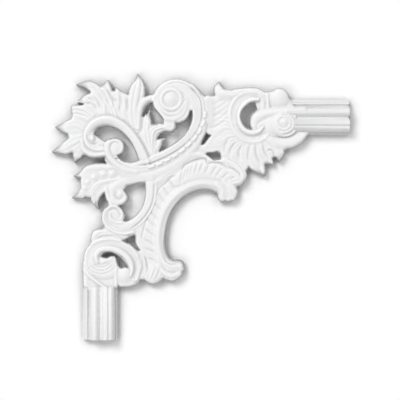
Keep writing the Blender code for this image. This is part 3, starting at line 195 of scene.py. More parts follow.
class Relief:
    """The sheet as carved so far: its height, how far each point lies inside the outline, and the holes."""

    def __init__(self, low, high, step):
        self.step = step
        nx, ny = (round((high[k] - low[k]) / step) + 1 for k in (0, 1))
        self.x = low[0] + step * np.arange(nx)
        self.y = low[1] + step * np.arange(ny)
        self.height = np.zeros((ny, nx))
        self.cover = np.full((ny, nx), -FAR)
        self.hole = np.zeros((ny, nx), bool)

    def window(self, low, high):
        """The rows and columns of the sheet between two corners."""
        i0, i1 = np.searchsorted(self.x, [low[0], high[0]])
        j0, j1 = np.searchsorted(self.y, [low[1], high[1]])
        return slice(j0, j1), slice(i0, i1)

    def nearest(self, line, values, reach):
        """For the grid points near a line: the window, distance, side and the values at the nearest place."""
        rows, columns = self.window(line.min(0) - reach, line.max(0) + reach)
        gx, gy = np.meshgrid(self.x[columns], self.y[rows])
        best = np.full(gx.shape, FAR**2)
        side = np.ones(gx.shape)
        found = [np.zeros(gx.shape) for _ in values]
        for k in range(len(line) - 1):
            a, d = line[k], line[k + 1] - line[k]
            size = d @ d
            if size < TINY:
                continue
            rx, ry = gx - a[0], gy - a[1]
            t = np.clip((rx * d[0] + ry * d[1]) / size, 0, 1)
            gap = (rx - t * d[0]) ** 2 + (ry - t * d[1]) ** 2
            closer = gap < best
            best = np.where(closer, gap, best)
            side = np.where(closer, np.sign(rx * d[1] - ry * d[0]), side)
            for v, f in zip(values, found):
                f[closer] = (v[k] + t * (v[k + 1] - v[k]))[closer]
        return (rows, columns), np.sqrt(best), side, found

    def sweep(self, points, width, height, section=soft_section, edge=BED, moat=0.0, moat_width=1.3):
        """Lays a band along points: half width and crest height are given once or at each point."""
        line, place = smooth_line(points)
        number = len(points)
        along = [np.interp(place, range(number), np.broadcast_to(v, number)) for v in (width, height, edge)]
        where, distance, side, (w, h, e) = self.nearest(line, along, along[0].max() + FORM_REACH)
        u = np.clip(side * distance / np.maximum(w, TINY), -1, 1)
        top = e + (h - e) * section(u)
        cover = w - distance
        if moat:
            away = np.maximum(0, -cover) / moat_width
            self.height[where] -= moat * np.exp(-away * away) * (cover <= 0) * (self.height[where] > e)
        self.merge(where, cover, top)

    def merge(self, where, cover, top):
        """Lays a form on what is there: the higher of the two, with a soft fillet where they meet."""
        held = self.height[where]
        near = cover > -KEPT_STEPS * self.step
        lift = np.maximum(SOFTNESS - np.abs(held - top), 0) ** 2 / (4 * SOFTNESS)
        self.height[where] = np.where(near, np.maximum(held, top) + lift * (held > 0), held)
        self.cover[where] = np.maximum(self.cover[where], cover)

    def dome(self, centre, radius, height, section=soft_section, edge=BED, moat=0.0, moat_width=1.3):
        """A rounded boss, round or oval."""
        rx, ry = np.broadcast_to(radius, 2).astype(float)
        reach = max(rx, ry) + FORM_REACH
        rows, columns = self.window(np.array(centre) - reach, np.array(centre) + reach)
        gx, gy = np.meshgrid(self.x[columns], self.y[rows])
        u = np.hypot((gx - centre[0]) / rx, (gy - centre[1]) / ry)
        cover = (1 - u) * min(rx, ry)
        top = edge + (height - edge) * section(np.minimum(u, 1))
        if moat:
            away = np.maximum(0, -cover) / moat_width
            self.height[rows, columns] -= moat * np.exp(-away * away) * (cover <= 0)
        self.merge((rows, columns), cover, top)

    def crease(self, points, width, depth):
        """Cuts (depth > 0) or raises (depth < 0) a soft line on what is there, fading at both ends."""
        line, place = smooth_line(points)
        ends = np.minimum(place, place[-1] - place)
        d = depth * CREASE_STRENGTH * np.clip(ends / CREASE_FADE, CREASE_END, 1)
        where, distance, _, (d,) = self.nearest(line, (d,), 3 * width)
        self.height[where] -= d * np.exp(-((distance / width) ** 2)) * (self.cover[where] > -CREASE_SPILL)

    def ring(self, centre, radius, width, depth, start=0, end=360):
        """A crease along a circle or an oval, or along part of one."""
        turn = np.radians(np.linspace(start, end, RING_POINTS))
        rx, ry = np.broadcast_to(radius, 2).astype(float)
        points = [(centre[0] + rx * math.cos(a), centre[1] + ry * math.sin(a)) for a in turn]
        self.crease(points, width, depth)

    def cut(self, *spans):
        """Opens a hole through the work."""
        outline = closed_line(spans)
        outline = np.vstack([outline[-1:], outline])
        where, distance, _, _ = self.nearest(outline, (), HOLE_REACH)
        gx, gy = np.meshgrid(self.x[where[1]], self.y[where[0]])
        inside = np.zeros(gx.shape, bool)
        for a, b in zip(outline, outline[1:]):
            if a[1] != b[1]:
                crosses = (a[1] > gy) != (b[1] > gy)
                inside ^= crosses & (gx < a[0] + (gy - a[1]) * (b[0] - a[0]) / (b[1] - a[1]))
        gap = (distance * np.where(inside, -1, 1) + HOLE_MARGIN) * HOLE_CRISPNESS
        self.cover[where] = np.minimum(self.cover[where], gap)
        self.hole[where] |= gap < HOLE_SIDE

    def inner_depth(self):
        """How far each point lies inside the outline, over the few steps that the rounding needs."""
        rows, columns = np.indices(self.cover.shape)
        outside = self.cover <= 0
        near = np.dstack([np.where(outside, rows, -FAR), np.where(outside, columns, -FAR)])
        best = np.where(outside, 0, FAR**2)
        around = ((1, 0), (-1, 0), (0, 1), (0, -1), (1, 1), (1, -1), (-1, 1), (-1, -1))
        for hop in (8, 4, 2, 1, 1):
            for down, right in around:
                other = np.roll(near, (hop * down, hop * right), (0, 1))
                gap = (rows - other[..., 0]) ** 2 + (columns - other[..., 1]) ** 2
                closer = gap < best
                best = np.where(closer, gap, best)
                near[closer] = other[closer]
        return (np.sqrt(best) - FIRST_STEP) * self.step

    def finish(self, edge, rounding):
        """Rounds the surface down to the outline, then softens it all a little."""
        self.cover = np.where(self.cover > 0, np.maximum(self.cover, self.inner_depth()), self.cover)
        s = np.clip(self.cover / rounding, 0, 1)
        fall = np.sqrt(1 - (1 - s) ** 2)
        low = np.minimum(self.height, edge)
        self.height = low + (self.height - low) * fall
        m = (self.cover > -KEPT_STEPS * self.step).astype(float)
        for _ in range(max(1, round((FINAL_BLUR / self.step) ** 2 * 2))):
            h = self.height
            total, weight = h * m * 2, m * 2
            for axis in (0, 1):
                for shift in (-1, 1):
                    total = total + np.roll(h * m, shift, axis)
                    weight = weight + np.roll(m, shift, axis)
            self.height = np.where(weight > 0, total / np.maximum(weight, TINY), h)


TIP_HEIGHT = 6.6                # height of a leaf lobe at its thin tip
LOBE_SWELL = ((0, 0.35, 0.7, 0.9, 1), (0.75, 1.0, 0.85, 0.5, 0.08))     # half width along a lobe
LOBE_GROOVE, LOBE_RISE = 0.2, 0.8       # depth of the groove round a lobe, and its least height over its edge
GROUND = 8.8                    # height of the ground under the carving
VEIN = 0.4                      # depth of a lobe's veins, as a share of its swelling
PEARLS, PEARL_PITCH, FIRST_PEARL = 10, 8.7, 5.0     # pearls on the great scroll, and where they lie
PEARL_HALF = 1.9                # half a pearl's width, and half its straight length
STROKES = 5                     # long strokes left of the shell
BARB_POINTS, BARB_RISE = 12, 0.5        # places on each stretch that barbs may start from, and their arching


def veined_section(u):
    """A leaf lobe across: a soft swelling with two veins."""
    veins = sum(np.exp(-(((u - at) / 0.16) ** 2)) for at in (-0.4, 0.34))
    return np.maximum(0, 1 - np.abs(u) ** 2.6) - VEIN * veins


def trough_section(u):
    """A hollow band: raised outer fillet at u = -1, a shallow trough, a rounded inner edge."""
    return np.interp(u, [-1, -0.9, -0.62, -0.5, -0.1, 0.4, 0.8, 1],
                     [0.5, 0.85, 0.9, 0.72, 0.7, 0.86, 1, 0.85])


def arch_section(u):
    """The arch's rim: flat towards the leaves, then falling away steeply to its inner edge."""
    return np.interp(u, [-1, -0.6, -0.15, 0.05, 1], [0.7, 0.9, 1, 0.9, 0])


def dished_section(u):
    """A shallow trough between two soft lips."""
    return np.interp(np.abs(u), [0, 0.4, 0.75, 1], [0.45, 0.55, 1, 0.6])


# The carved forms, each laid on the relief r

def lobe(r, path, width, top):
    """A pointed leaf lobe that swells from its root and runs out to a thin tip."""
    share = np.linspace(0, 1, len(path))
    widths = width * np.interp(share, *LOBE_SWELL)
    heights = np.interp(share, (0, 0.6, 1), (top, top - 0.5, TIP_HEIGHT))
    edge = np.minimum(heights - LOBE_RISE, GROUND)
    r.sweep(path, widths, heights, veined_section, edge, moat=LOBE_GROOVE)


def between(first, second, number):
    """Slightly arched lines from places along one curve to the matching places along another."""
    a, b = (smooth_line(path, BARB_POINTS)[0] for path in (first, second))
    for share in np.linspace(0, 1, number):
        p, q = (curve[round(share * (len(curve) - 1))] for curve in (a, b))
        yield [p, (p + q) / 2 - (0, BARB_RISE), q]


def ground(r):
    """The bed that all the carving stands on."""
    for path, widths in [
        # under the corner leaf, the scroll and its stem
        ([(147, 152), (141, 130), (130, 112), (114, 104), (98, 106), (84, 116), (77, 132.5), (83, 144),
          (94, 151)],
         [5, 9, 14, 13.5, 12, 10, 10.2, 6.5, 5.5]),
        ([(112, 158), (128, 171), (150, 168), (172, 158), (189, 143), (199, 124), (199, 104), (190, 90)],
         [8, 9, 12, 12, 12, 11, 9, 7]),
        ([(164, 120), (160, 130), (155, 142), (150, 158)], [6, 4, 5, 6]),
        # between scroll and shell, and under the shell's lobes
        ([(210, 114), (224, 114)], [9, 9]),
        ([(203, 149), (214, 148)], [5.5, 7]),
        ([(189, 94), (190.4, 108)], [4, 4]),
        ([(258, 102), (258, 110)], [3, 3]),
        ([(209.4, 140), (206, 146)], [2.6, 2.6]),
        ([(222, 152), (223.4, 159)], [2.4, 2.6]),
        ([(269, 157), (272.2, 162.6)], [3.4, 2]),
        ([(262, 162), (263.8, 171)], [3, 2.2]),
        ([(222, 197), (229, 197)], [4, 4.4]),
        ([(166, 118), (172, 119)], [4, 4]),
        ([(151.6, 126.4), (158, 126.6)], [2.4, 2.8]),
        ([(139.6, 275), (142.4, 276.8)], [3.2, 3.4]),
        ([(206, 104), (222, 104), (238, 100), (250, 97), (264, 99), (278, 103), (290, 114)],
         [8, 10, 12, 9.5, 7.6, 12, 9]),
        ([(206, 122), (214, 132), (228, 140), (248, 148), (264, 148), (278, 142), (290, 134), (298, 127)],
         [9, 11, 14, 15, 13, 11, 10, 6]),
        ([(228, 150), (238, 158), (243, 166)], [9, 8, 6]),
        ([(262, 122), (276, 122), (288, 122)], [13, 13, 10]),
        # the arch and the leaves along it
        ([(236, 178), (222, 173), (205, 171), (190, 173), (176, 181), (166, 192), (158, 206), (153, 220),
          (149, 238), (149, 254), (153, 272)],
         [9, 13, 14, 15, 14, 14, 13, 14, 14, 13, 12]),
        ([(188, 160), (172, 168), (156, 178), (151, 190), (149, 205)], [8, 9, 9, 8, 7]),
        # down to the lower shell
        ([(124, 173), (112, 176), (100, 178), (92, 184), (89, 191)], [8, 8.5, 9, 8, 7]),
        ([(120, 180), (116, 194), (113, 206), (113, 219), (124, 231), (140, 226)],
         [8, 9.5, 5.5, 11, 6.5, 8]),
        ([(112, 232), (104, 244), (104, 262), (104, 274), (101, 284)], [9, 13, 20, 17, 15]),
        ([(128, 252), (134, 264), (131, 276)], [9, 13, 10.5]),
    ]:
        r.sweep(path, widths, GROUND, flat_section, edge=GROUND - 0.3)


def corner_leaf(r):
    """The acanthus fan at the outer corner, with its rolled rim round the kidney-shaped hole."""
    for path, width, top in [
        ([(104, 117), (104, 103), (98, 92), (89, 85.2), (76.3, 84.6)], 6.6, 10.2),
        ([(103, 116), (98, 105), (91, 98.4), (84, 100), (77, 102.2)], 5.8, 10),
        ([(86, 131), (76, 125.6), (66, 127.3), (55.6, 127.3)], 7.8, 9.8),
        ([(86, 138), (75, 142.5), (65, 148.5), (52.2, 151.7)], 7.8, 10.2),
        ([(85, 143), (80, 150), (77, 156), (74.6, 162.6)], 6, 9.8),
        ([(116, 117), (112, 105), (107.5, 97), (104.6, 89), (107, 80.2)], 6, 10.2),
        ([(124, 119), (121.5, 107), (118.5, 97), (115.6, 87.6)], 5.6, 10),
        ([(130, 122), (128, 108), (125, 98), (120, 90.4)], 5.4, 9.8),
        ([(149, 152), (143.5, 135), (142, 124), (142.6, 115.8)], 3.8, 10.2),
        ([(151, 152), (147.5, 134), (147.6, 121), (149.4, 110.6)], 5.2, 10.4),
        ([(153, 158), (156, 148), (159.5, 142.5), (165, 138.2)], 4.8, 10.2),
    ]:
        lobe(r, path, width, top)
    # the spike, whose shoulders narrow to a fine tip
    r.sweep([(136, 128), (134.8, 108), (137, 93), (138, 87), (138.7, 82), (138.4, 78), (137.6, 74)],
            [6, 8.4, 8.8, 7.8, 5.2, 2.8, 0.6], [10.4, 10.8, 10.8, 10.4, 9.4, 8.2, 6.6], veined_section,
            edge=[GROUND] * 3 + [8.4, 7.6, 6.8, 5.8], moat=0.3)
    # small lobes that stand between the large ones
    for path, widths in (([(107, 97), (108.6, 90), (107.6, 82)], [5, 4, 2]),
                         ([(119.4, 97), (117.6, 91.6), (115.6, 88)], [4.6, 3.4, 1.2]),
                         ([(90, 97), (92.4, 92.4)], [2.6, 2.2]),
                         ([(73.6, 149), (78, 150.4), (84, 151.6)], [4, 4.4, 4])):
        r.sweep(path, widths, [9.4] * (len(path) - 1) + [8], soft_section, edge=7.8)
    # the blunt flutes on the outer side, one above another
    for y, tip, half in ((107.9, 73.8, 3.3), (111.6, 74.1, 3.1), (115.4, 74.8, 3.1)):
        r.sweep([(93, y + 7), (84, y + 1.6), (tip, y)], [3, 3.6, half], [9.8, 9.6, 8.6], soft_section,
                edge=GROUND - 0.3, moat=0.25)
    # the furrows between them
    for y in (109.6, 113.4):
        r.crease([(71, y), (79, y + 0.4), (88, y + 3.4)], 0.8, 0.5)
    # the hump between fan and spike
    r.sweep([(125, 108), (124.6, 97)], 4.2, [9.4, 8.8], soft_section, edge=8.4)
    # the arched stalk over the leaf-shaped hole, up to the volute
    r.sweep([(139, 128), (140, 111), (144, 102.5), (150.5, 98.8), (158, 98)], [3, 4, 4.6, 4.4, 4.2], 10.8,
            leaning(0.3), moat=0.3)
    # the bent lobe that ends in a blunt block under the volute
    r.sweep([(152, 156), (152, 142), (153.6, 131.5), (160, 127.8), (168.2, 126)],
            [3.4, 4, 4.8, 5, 5.6], [10.2, 10.2, 10.4, 10.6, 11], veined_section, moat=0.3)
    r.sweep([(169.6, 120.5), (170, 126)], 6.6, 11.2, flat_section, edge=10)
    # the dished inside of the curl and the roll under it
    r.dome((97, 140), (14, 11), 9.8, flat_section, edge=9.4)
    r.sweep([(82.8, 141), (84.6, 149), (90.6, 153.4), (98, 154), (107, 153)], [2.8, 3.8, 4.6, 4.4, 4], 10.6,
            leaning(-0.25), moat=0.3)
    # the rolled rim
    r.sweep([(145.5, 162), (138.5, 148), (131, 136.3), (121.8, 127), (110.5, 121.2), (100, 121.8),
             (91.6, 127), (87.6, 135), (89, 144), (95, 148.6), (103, 148.8)],
            [5.8, 6.2, 6.2, 6.0, 5.8, 5.6, 5, 4.2, 3.6, 3, 2.4],
            [11.8, 12.2, 12.2, 12.2, 12.2, 12, 11.6, 11.2, 11, 10.6, 10.2], leaning(-0.5),
            edge=[8.8] * 7 + [9.2] * 4, moat=0.8)
    r.dome((92.5, 138.5), (3, 4), 12.2, soft_section, edge=9.8)
    r.crease([(87.8, 133), (88, 138.6), (90.6, 143), (95, 144), (99.4, 142.4)], 0.8, 0.52)
    r.crease([(140.6, 163), (133.2, 146.6), (126.4, 137), (117.6, 129.8), (108, 126.4)], 0.7, 0.38)
    # flutes that sweep up the fan
    for line, depth in (
        ([(106.4, 88), (109, 93), (113, 98.6), (117.6, 103)], 0.98),
        ([(98, 86.4), (103, 92), (107, 99), (109, 106)], 0.588),
        ([(89, 84.4), (96, 89.6), (101.6, 96.6), (105, 104)], 0.588),
        ([(84.6, 104), (90, 103.4), (94, 106), (96.6, 111)], 0.7),
        ([(86, 97.6), (93, 99.6), (98, 104), (101, 110)], 0.56),
        ([(119, 93), (121, 99), (121.4, 106), (120, 113)], 0.56),
        ([(127.4, 96), (127, 104), (127.6, 112)], 0.7),
    ):
        r.crease(line, 1.3, depth)
    # fine lines between them
    for x0, y0, x1, y1 in ((98, 113, 88, 97.6), (101, 111, 93, 95), (119, 112, 119, 98), (113, 113, 112, 98),
                           (126.6, 114, 127, 100)):
        r.crease([(x0, y0), ((x0 + x1) / 2 + 1.2, (y0 + y1) / 2 - 1), (x1, y1)], 0.8, 0.4)


def great_scroll(r):
    """The big C-scroll: volute above, small curl below, pearls along its outer side."""
    # outer roll beyond the pearls
    r.sweep([(204.5, 124), (200.5, 137), (193, 147.5), (184, 156.6), (174.5, 164), (164, 169.6),
             (153, 173.8), (141, 175.6), (130, 174.4), (121, 169), (113, 161)],
            [3, 4.4, 5, 5.2, 5.4, 5.6, 5.8, 6, 5.8, 5, 3.6], 10.2, leaning(0.1), edge=GROUND, moat=0.3)
    pearl_line = [(204.2, 99), (205, 110), (204.5, 119), (201.6, 127.8), (197.0, 135.6), (191.4, 142.2),
                  (185.2, 148.2), (178.4, 153.4), (171.2, 158), (163.6, 162), (155.7, 165.3), (147, 167.8),
                  (137, 169), (127, 167.2), (119, 162.4)]
    r.sweep(pearl_line, 2.8, 10.3, flat_section, edge=10)
    # the smooth band that winds into the volute
    r.dome((172.4, 100.6), (20, 20.8), 11.4, flat_section, edge=11)
    r.sweep([(172, 116.4), (179, 115.8), (184, 113.6)], [6.6, 8, 7.6], 11.2, flat_section, edge=10.6)
    band = [(126, 164), (136, 165.2), (147, 163.4), (157, 159.4), (168, 153.8), (178, 147), (187, 138.6),
            (193.6, 129), (197, 118.5), (197, 107.5), (194, 97), (188, 88.8), (178.5, 84.4), (168, 85.4),
            (160.2, 91.6), (156.8, 100.5), (159, 109.6), (166, 115.4), (174.4, 116), (181.6, 111.8),
            (186, 104)]
    widths = [2.4, 3, 3.8, 4.6, 5.4, 5.8] + [6.2] * 5 + [6, 5.6, 5, 4.6, 4.4, 4.4, 4.6, 4.4, 3.6, 1.6]
    heights = [10.8] * 4 + [11.2] * 5 + [11.8] * 6 + [12] * 6
    r.sweep(band, widths, heights, trough_section, edge=[h - 1.4 for h in heights], moat=0.35)
    # the button in the middle of the volute
    r.dome((171.2, 99.7), 11.4, 12.3, soft_section, edge=11.9, moat=0.1)
    r.ring((171.2, 99.7), 9.9, 1.2, -0.34)
    r.ring((171.2, 99.7), 7.3, 1.1, 0.3)
    r.ring((171.2, 99.7), 12.2, 0.6, 0.18)
    r.dome((170.8, 99.3), 5.6, 13.2, soft_section, edge=12)
    r.crease([(161, 112), (169, 116.4), (178, 115)], 0.7, 0.38)
    r.crease([(163, 108.6), (170.5, 112.6), (179, 110.6)], 0.6, 0.38)
    # the strip right of the topmost pearls
    r.sweep([(208, 99), (209.4, 110), (208.6, 121)], 4.4, 9.8, soft_section, edge=GROUND)
    # the lines that divide the band from its outer fillet and from the pearls
    r.crease([(165, 86.3), (172.5, 83), (180, 82.8), (188, 85.8), (195, 92.2)], 0.7, 0.45)
    r.crease([(190, 87.6), (195, 92.2), (200.4, 100), (202, 110), (201.6, 119), (199.2, 126.8),
              (194.8, 134.6), (188.2, 141.8), (180, 148.6), (170.6, 154.6), (160, 159.8), (149, 164),
              (138, 166)], 0.75, 1.0)
    # the pearls, evenly along their line
    line, _ = smooth_line(pearl_line[1:-3])
    length = np.concatenate([[0], np.cumsum(np.hypot(*np.diff(line, axis=0).T))])
    for n in range(PEARLS):
        middle = FIRST_PEARL + n * PEARL_PITCH
        ends = [[np.interp(at, length, line[:, k]) for k in (0, 1)]
                for at in (middle - PEARL_HALF, middle + PEARL_HALF)]
        r.sweep(ends, PEARL_HALF, 11.5, round_section, edge=10.1, moat=0.4, moat_width=0.9)
    # the curl at the lower end
    r.dome((115, 147.6), 10, 10.9, flat_section, edge=10.4, moat=0.4)
    r.sweep([(136, 171.5), (126, 169.3), (117.5, 164.4), (110.4, 157.6), (107.4, 150), (109.6, 142.5),
             (115.4, 139.8), (121.4, 142.4), (122.8, 148), (120, 152.4)],
            [2.2, 2.6, 2.6, 2.6, 2.6, 2.4, 2.2, 2.2, 2, 1.6],
            [10.8, 11, 11.2, 11.4, 11.5, 11.5, 11.5, 11.4, 11.3, 11.1], leaning(0.2), edge=10.4)
    r.crease([(124, 166.4), (117.8, 161.5), (112.6, 155), (110.6, 149), (112, 144), (116, 142.4),
              (119.6, 144.6)], 0.7, 0.45)
    r.crease([(131, 168.4), (122, 163.8), (115.4, 157), (112.8, 150)], 0.7, 0.38)
    r.dome((115.4, 150), (3.4, 3.8), 11.4, soft_section, edge=10.8)


def bead_pod(r):
    """The pod of beads that opens to the left under the corner leaf."""
    r.sweep([(122, 168.8), (109, 167.8), (97, 167.6), (88, 169.8), (80.6, 175), (74, 176)],
            [4, 4.2, 4.8, 5, 3.2, 0.6], [10, 10, 9.8, 9.4, 8.8, 6.6],
            leaning(-0.2), edge=[GROUND] * 3 + [8.6, 7.6, 6], moat=0.2)
    r.sweep([(108, 175), (95, 175.6), (86, 179), (83.4, 185), (83.4, 191)], [5, 5, 5.4, 3.2, 2.4], 9.2,
            flat_section, edge=8.8)
    lobe(r, [(92, 184), (86, 190), (81, 194.8), (72.2, 197.8)], 5.6, 9.6)
    r.sweep([(114, 184), (104, 186.5), (97.3, 193), (95.2, 200), (98.2, 208.6)], [4, 5.6, 5.4, 4.6, 0.6],
            [9.8, 9.9, 9.8, 9, 6.6], dished_section, edge=[8.8, 8.8, 8.8, 8.2, 6], moat=0.3)
    r.sweep([(120, 178.6), (108, 180.4), (99, 182.8), (93.4, 187.4), (91.4, 194), (93.4, 202)],
            [1.8] * 5 + [1.2], [10, 10, 10, 9.8, 9.4, 8], soft_section, edge=9)
    for centre, radius in [((112.2, 173.6), 4.1), ((103.2, 174), 3.9), ((94.2, 177.4), 3.6),
                           ((87.6, 182.2), 3.0), ((84.6, 188.2), 2.4)]:
        r.dome(centre, radius, 9.7 + radius * 0.24, soft_section, edge=9.3, moat=0.8, moat_width=0.9)
        r.ring(centre, radius * 0.55, 0.7, 0.25)


def small_curl(r):
    """The short curl between the pod and the snail."""
    r.dome((116.5, 193.5), (10.8, 11.4), 9.8, flat_section, edge=9.2)
    r.sweep([(146, 180), (132, 181.2), (121.5, 183.6), (114, 188.8), (111.8, 196), (115, 201.6),
             (121.6, 201.8), (125.4, 197.6), (123.4, 192.6)],
            [3, 3.8, 4.8, 4.8, 4.4, 4, 3.6, 3.2, 2], [9.8, 10, 10.4] + [10.6] * 5 + [10.4],
            leaning(-0.3), edge=9.6, moat=0.25)
    r.dome((120.3, 193.8), (3.2, 3.8), 11.2, soft_section, edge=10)
    r.crease([(115.6, 191), (115.6, 196), (118.8, 199), (122.8, 198.4)], 0.7, 0.52)
    r.sweep([(106, 188.5), (106.4, 193.5), (107.8, 199), (111, 204.4)], 2.1, 10.4, soft_section, edge=9.4)
    r.crease([(109.6, 188.5), (109.4, 194), (111, 200)], 0.7, 0.52)


def snail_scroll(r):
    """The snail-shaped scroll that hangs left of the arch."""
    r.dome((113.5, 218.6), (12.4, 13.4), 9.5, flat_section, edge=9.2)
    r.sweep([(150.5, 178), (150.6, 191), (148.4, 202), (143, 212.5), (135, 220.8), (125, 226),
             (116.3, 226.4)],
            [4.6, 5.6, 5.8, 6, 6, 5.4, 4], [10.2, 10.2, 10.4, 10.4, 10.4, 10.2, 9.9], leaning(0.1),
            edge=9.4, moat=0.25)
    # raised fillet all round, then the tongue in the middle
    r.sweep([(133, 232), (124, 233.6), (115.5, 232.2), (108.6, 228), (104.2, 222), (103, 215.4),
             (105.2, 209.8), (110, 206.8), (115.6, 206.4), (120, 208.6), (122.6, 213), (121.8, 218.6)],
            1.6, 10.5, soft_section, edge=9.4)
    r.sweep([(109.6, 213.6), (111.4, 219), (116.2, 222.4), (124.4, 222.4)], [1.4, 1.7, 1.8, 1.6], 10.6,
            soft_section, edge=9.4)
    r.crease([(119.4, 218.4), (119.8, 213.6), (117, 210), (112.6, 209.4), (108.6, 212), (107.4, 217),
              (109.4, 222.6), (114.4, 226.8), (121.6, 228.6)], 0.75, 0.45)
    r.crease([(154.2, 180), (154.2, 192), (152.4, 203), (147.4, 213.4), (139.6, 222.6), (130, 229.6)],
             0.75, 0.6)
    r.crease([(150.4, 190), (148.4, 201), (143, 211)], 0.7, 0.22)


def inner_arch(r):
    """The arch that faces the panel: rolled inner rim, two feathered leaves and their curled ends."""
    # bands behind the leaves
    r.sweep([(151, 186), (160, 179.6), (171, 173), (180, 166.4), (188, 159), (196, 155), (205, 156.6),
             (213, 162)], [3, 4.8, 5.2, 5.2, 5.2, 4.4, 3.8, 2.5], 9.9, leaning(0.3), moat=0.25)
    r.sweep([(208, 160), (215, 160.8), (224, 161), (232, 164), (239.2, 169.6), (242.6, 175), (240, 180),
             (233, 183)], [2, 3, 4, 5.2, 5.4, 5, 4.2, 2.4], 9.9, leaning(0.2), moat=0.25)
    r.crease([(224, 158.4), (233, 160.8), (240.4, 167), (244.4, 174), (243.4, 180)], 0.7, 0.45)
    # the rolled inner rim, with the smooth slope between it and the leaves
    arch = [(221.5, 197), (220.4, 190.6), (215.6, 186.4), (209.5, 184.6), (203, 184.2), (194.5, 185.8),
            (185.3, 189.8), (176.8, 196), (169.8, 203.9), (164.6, 213), (161.4, 222.8), (159.8, 233),
            (159.6, 244), (161.4, 254.2), (166, 262), (173, 265), (179, 265)]
    r.sweep(arch, [4, 5] + [6] * 12 + [5.6, 5.4, 5], [9.6, 10] + [10.2] * 12 + [10.2, 10, 9.6],
            arch_section, edge=6.6, moat=0.1)
    # the leaves' soft body, and the lines between their barbs
    r.sweep([(236, 176), (222, 173), (205, 170.5), (190, 173), (177, 181)], [6, 9, 10, 9, 6], 10,
            flat_section, edge=GROUND)
    for line in between([(180, 186), (188, 178), (199, 174), (213, 177), (227, 182)],
                        [(182.6, 169), (191, 163.4), (204, 160.8), (220, 166.4), (236.6, 176)], 11):
        r.crease(line, 1.1, 0.42)
    for line in between([(176, 191), (166.6, 203), (159.6, 217), (155.8, 232), (155, 247), (158, 262)],
                        [(168, 179), (158, 191), (150.6, 206), (144.8, 222), (142.6, 240), (146.6, 258)], 10):
        r.crease(line, 1.2, 0.5)
    # the edges of the upper and of the lower leaf
    r.crease([(181.6, 171), (184.4, 165.8), (190, 162.4), (198, 159.4), (205.6, 159.2), (207.4, 163.6),
              (213, 162.6), (220, 163.4), (226.4, 167), (233, 169), (239, 173.4), (240.6, 177)], 0.8, 0.75)
    r.crease([(178, 176), (171.6, 177), (166, 183.4), (159.6, 188.6), (156, 196), (153, 207), (147.6, 218),
              (143.6, 230), (141, 242)], 0.8, 0.48)
    # curled ends of the rim
    for path in [
        [(217, 183.6), (221.4, 188), (223, 193.5), (222.4, 198)],
        [(223, 181), (228, 186), (229.6, 192), (228.4, 198)],
        [(230, 181.4), (231.4, 186), (234, 191.5), (232.6, 197)],
    ]:
        r.sweep(path, [3.6, 4.2, 4.4, 4], [10, 10, 9.6, 8.4], soft_section, edge=8.4, moat=0.2)
    for path in [
        [(158, 258), (163, 266.5), (170.5, 270), (180.4, 268.6)],
        [(158, 266), (163.5, 272.6), (172, 276), (178.6, 273.6)],
    ]:
        r.sweep(path, [3.4, 5.2, 5.4, 4], [9.8, 9.9, 9.8, 9.2], soft_section, edge=8.6, moat=0.2)
    for line in ([(163.6, 255), (166.6, 261.4), (172, 264), (179.4, 262.6)],
                 [(160, 262), (164.6, 269.4), (172, 272.6), (179.6, 270.6)],
                 [(160, 272), (165, 277), (172, 278.6), (178, 276.4)]):
        r.crease(line, 1.0, 0.55)
    # the rounded foot between arch and plate
    r.dome((152.6, 274), (9, 10.6), 10.4, soft_section, edge=8.8, moat=0.3)
    for x in (149, 153.6, 158):
        r.crease([(x - 3, 280), (x, 274), (x + 2.4, 266)], 0.9, 0.38)
    r.crease([(144, 255), (146.6, 261), (147.6, 268), (146.4, 276)], 0.8, 0.75)


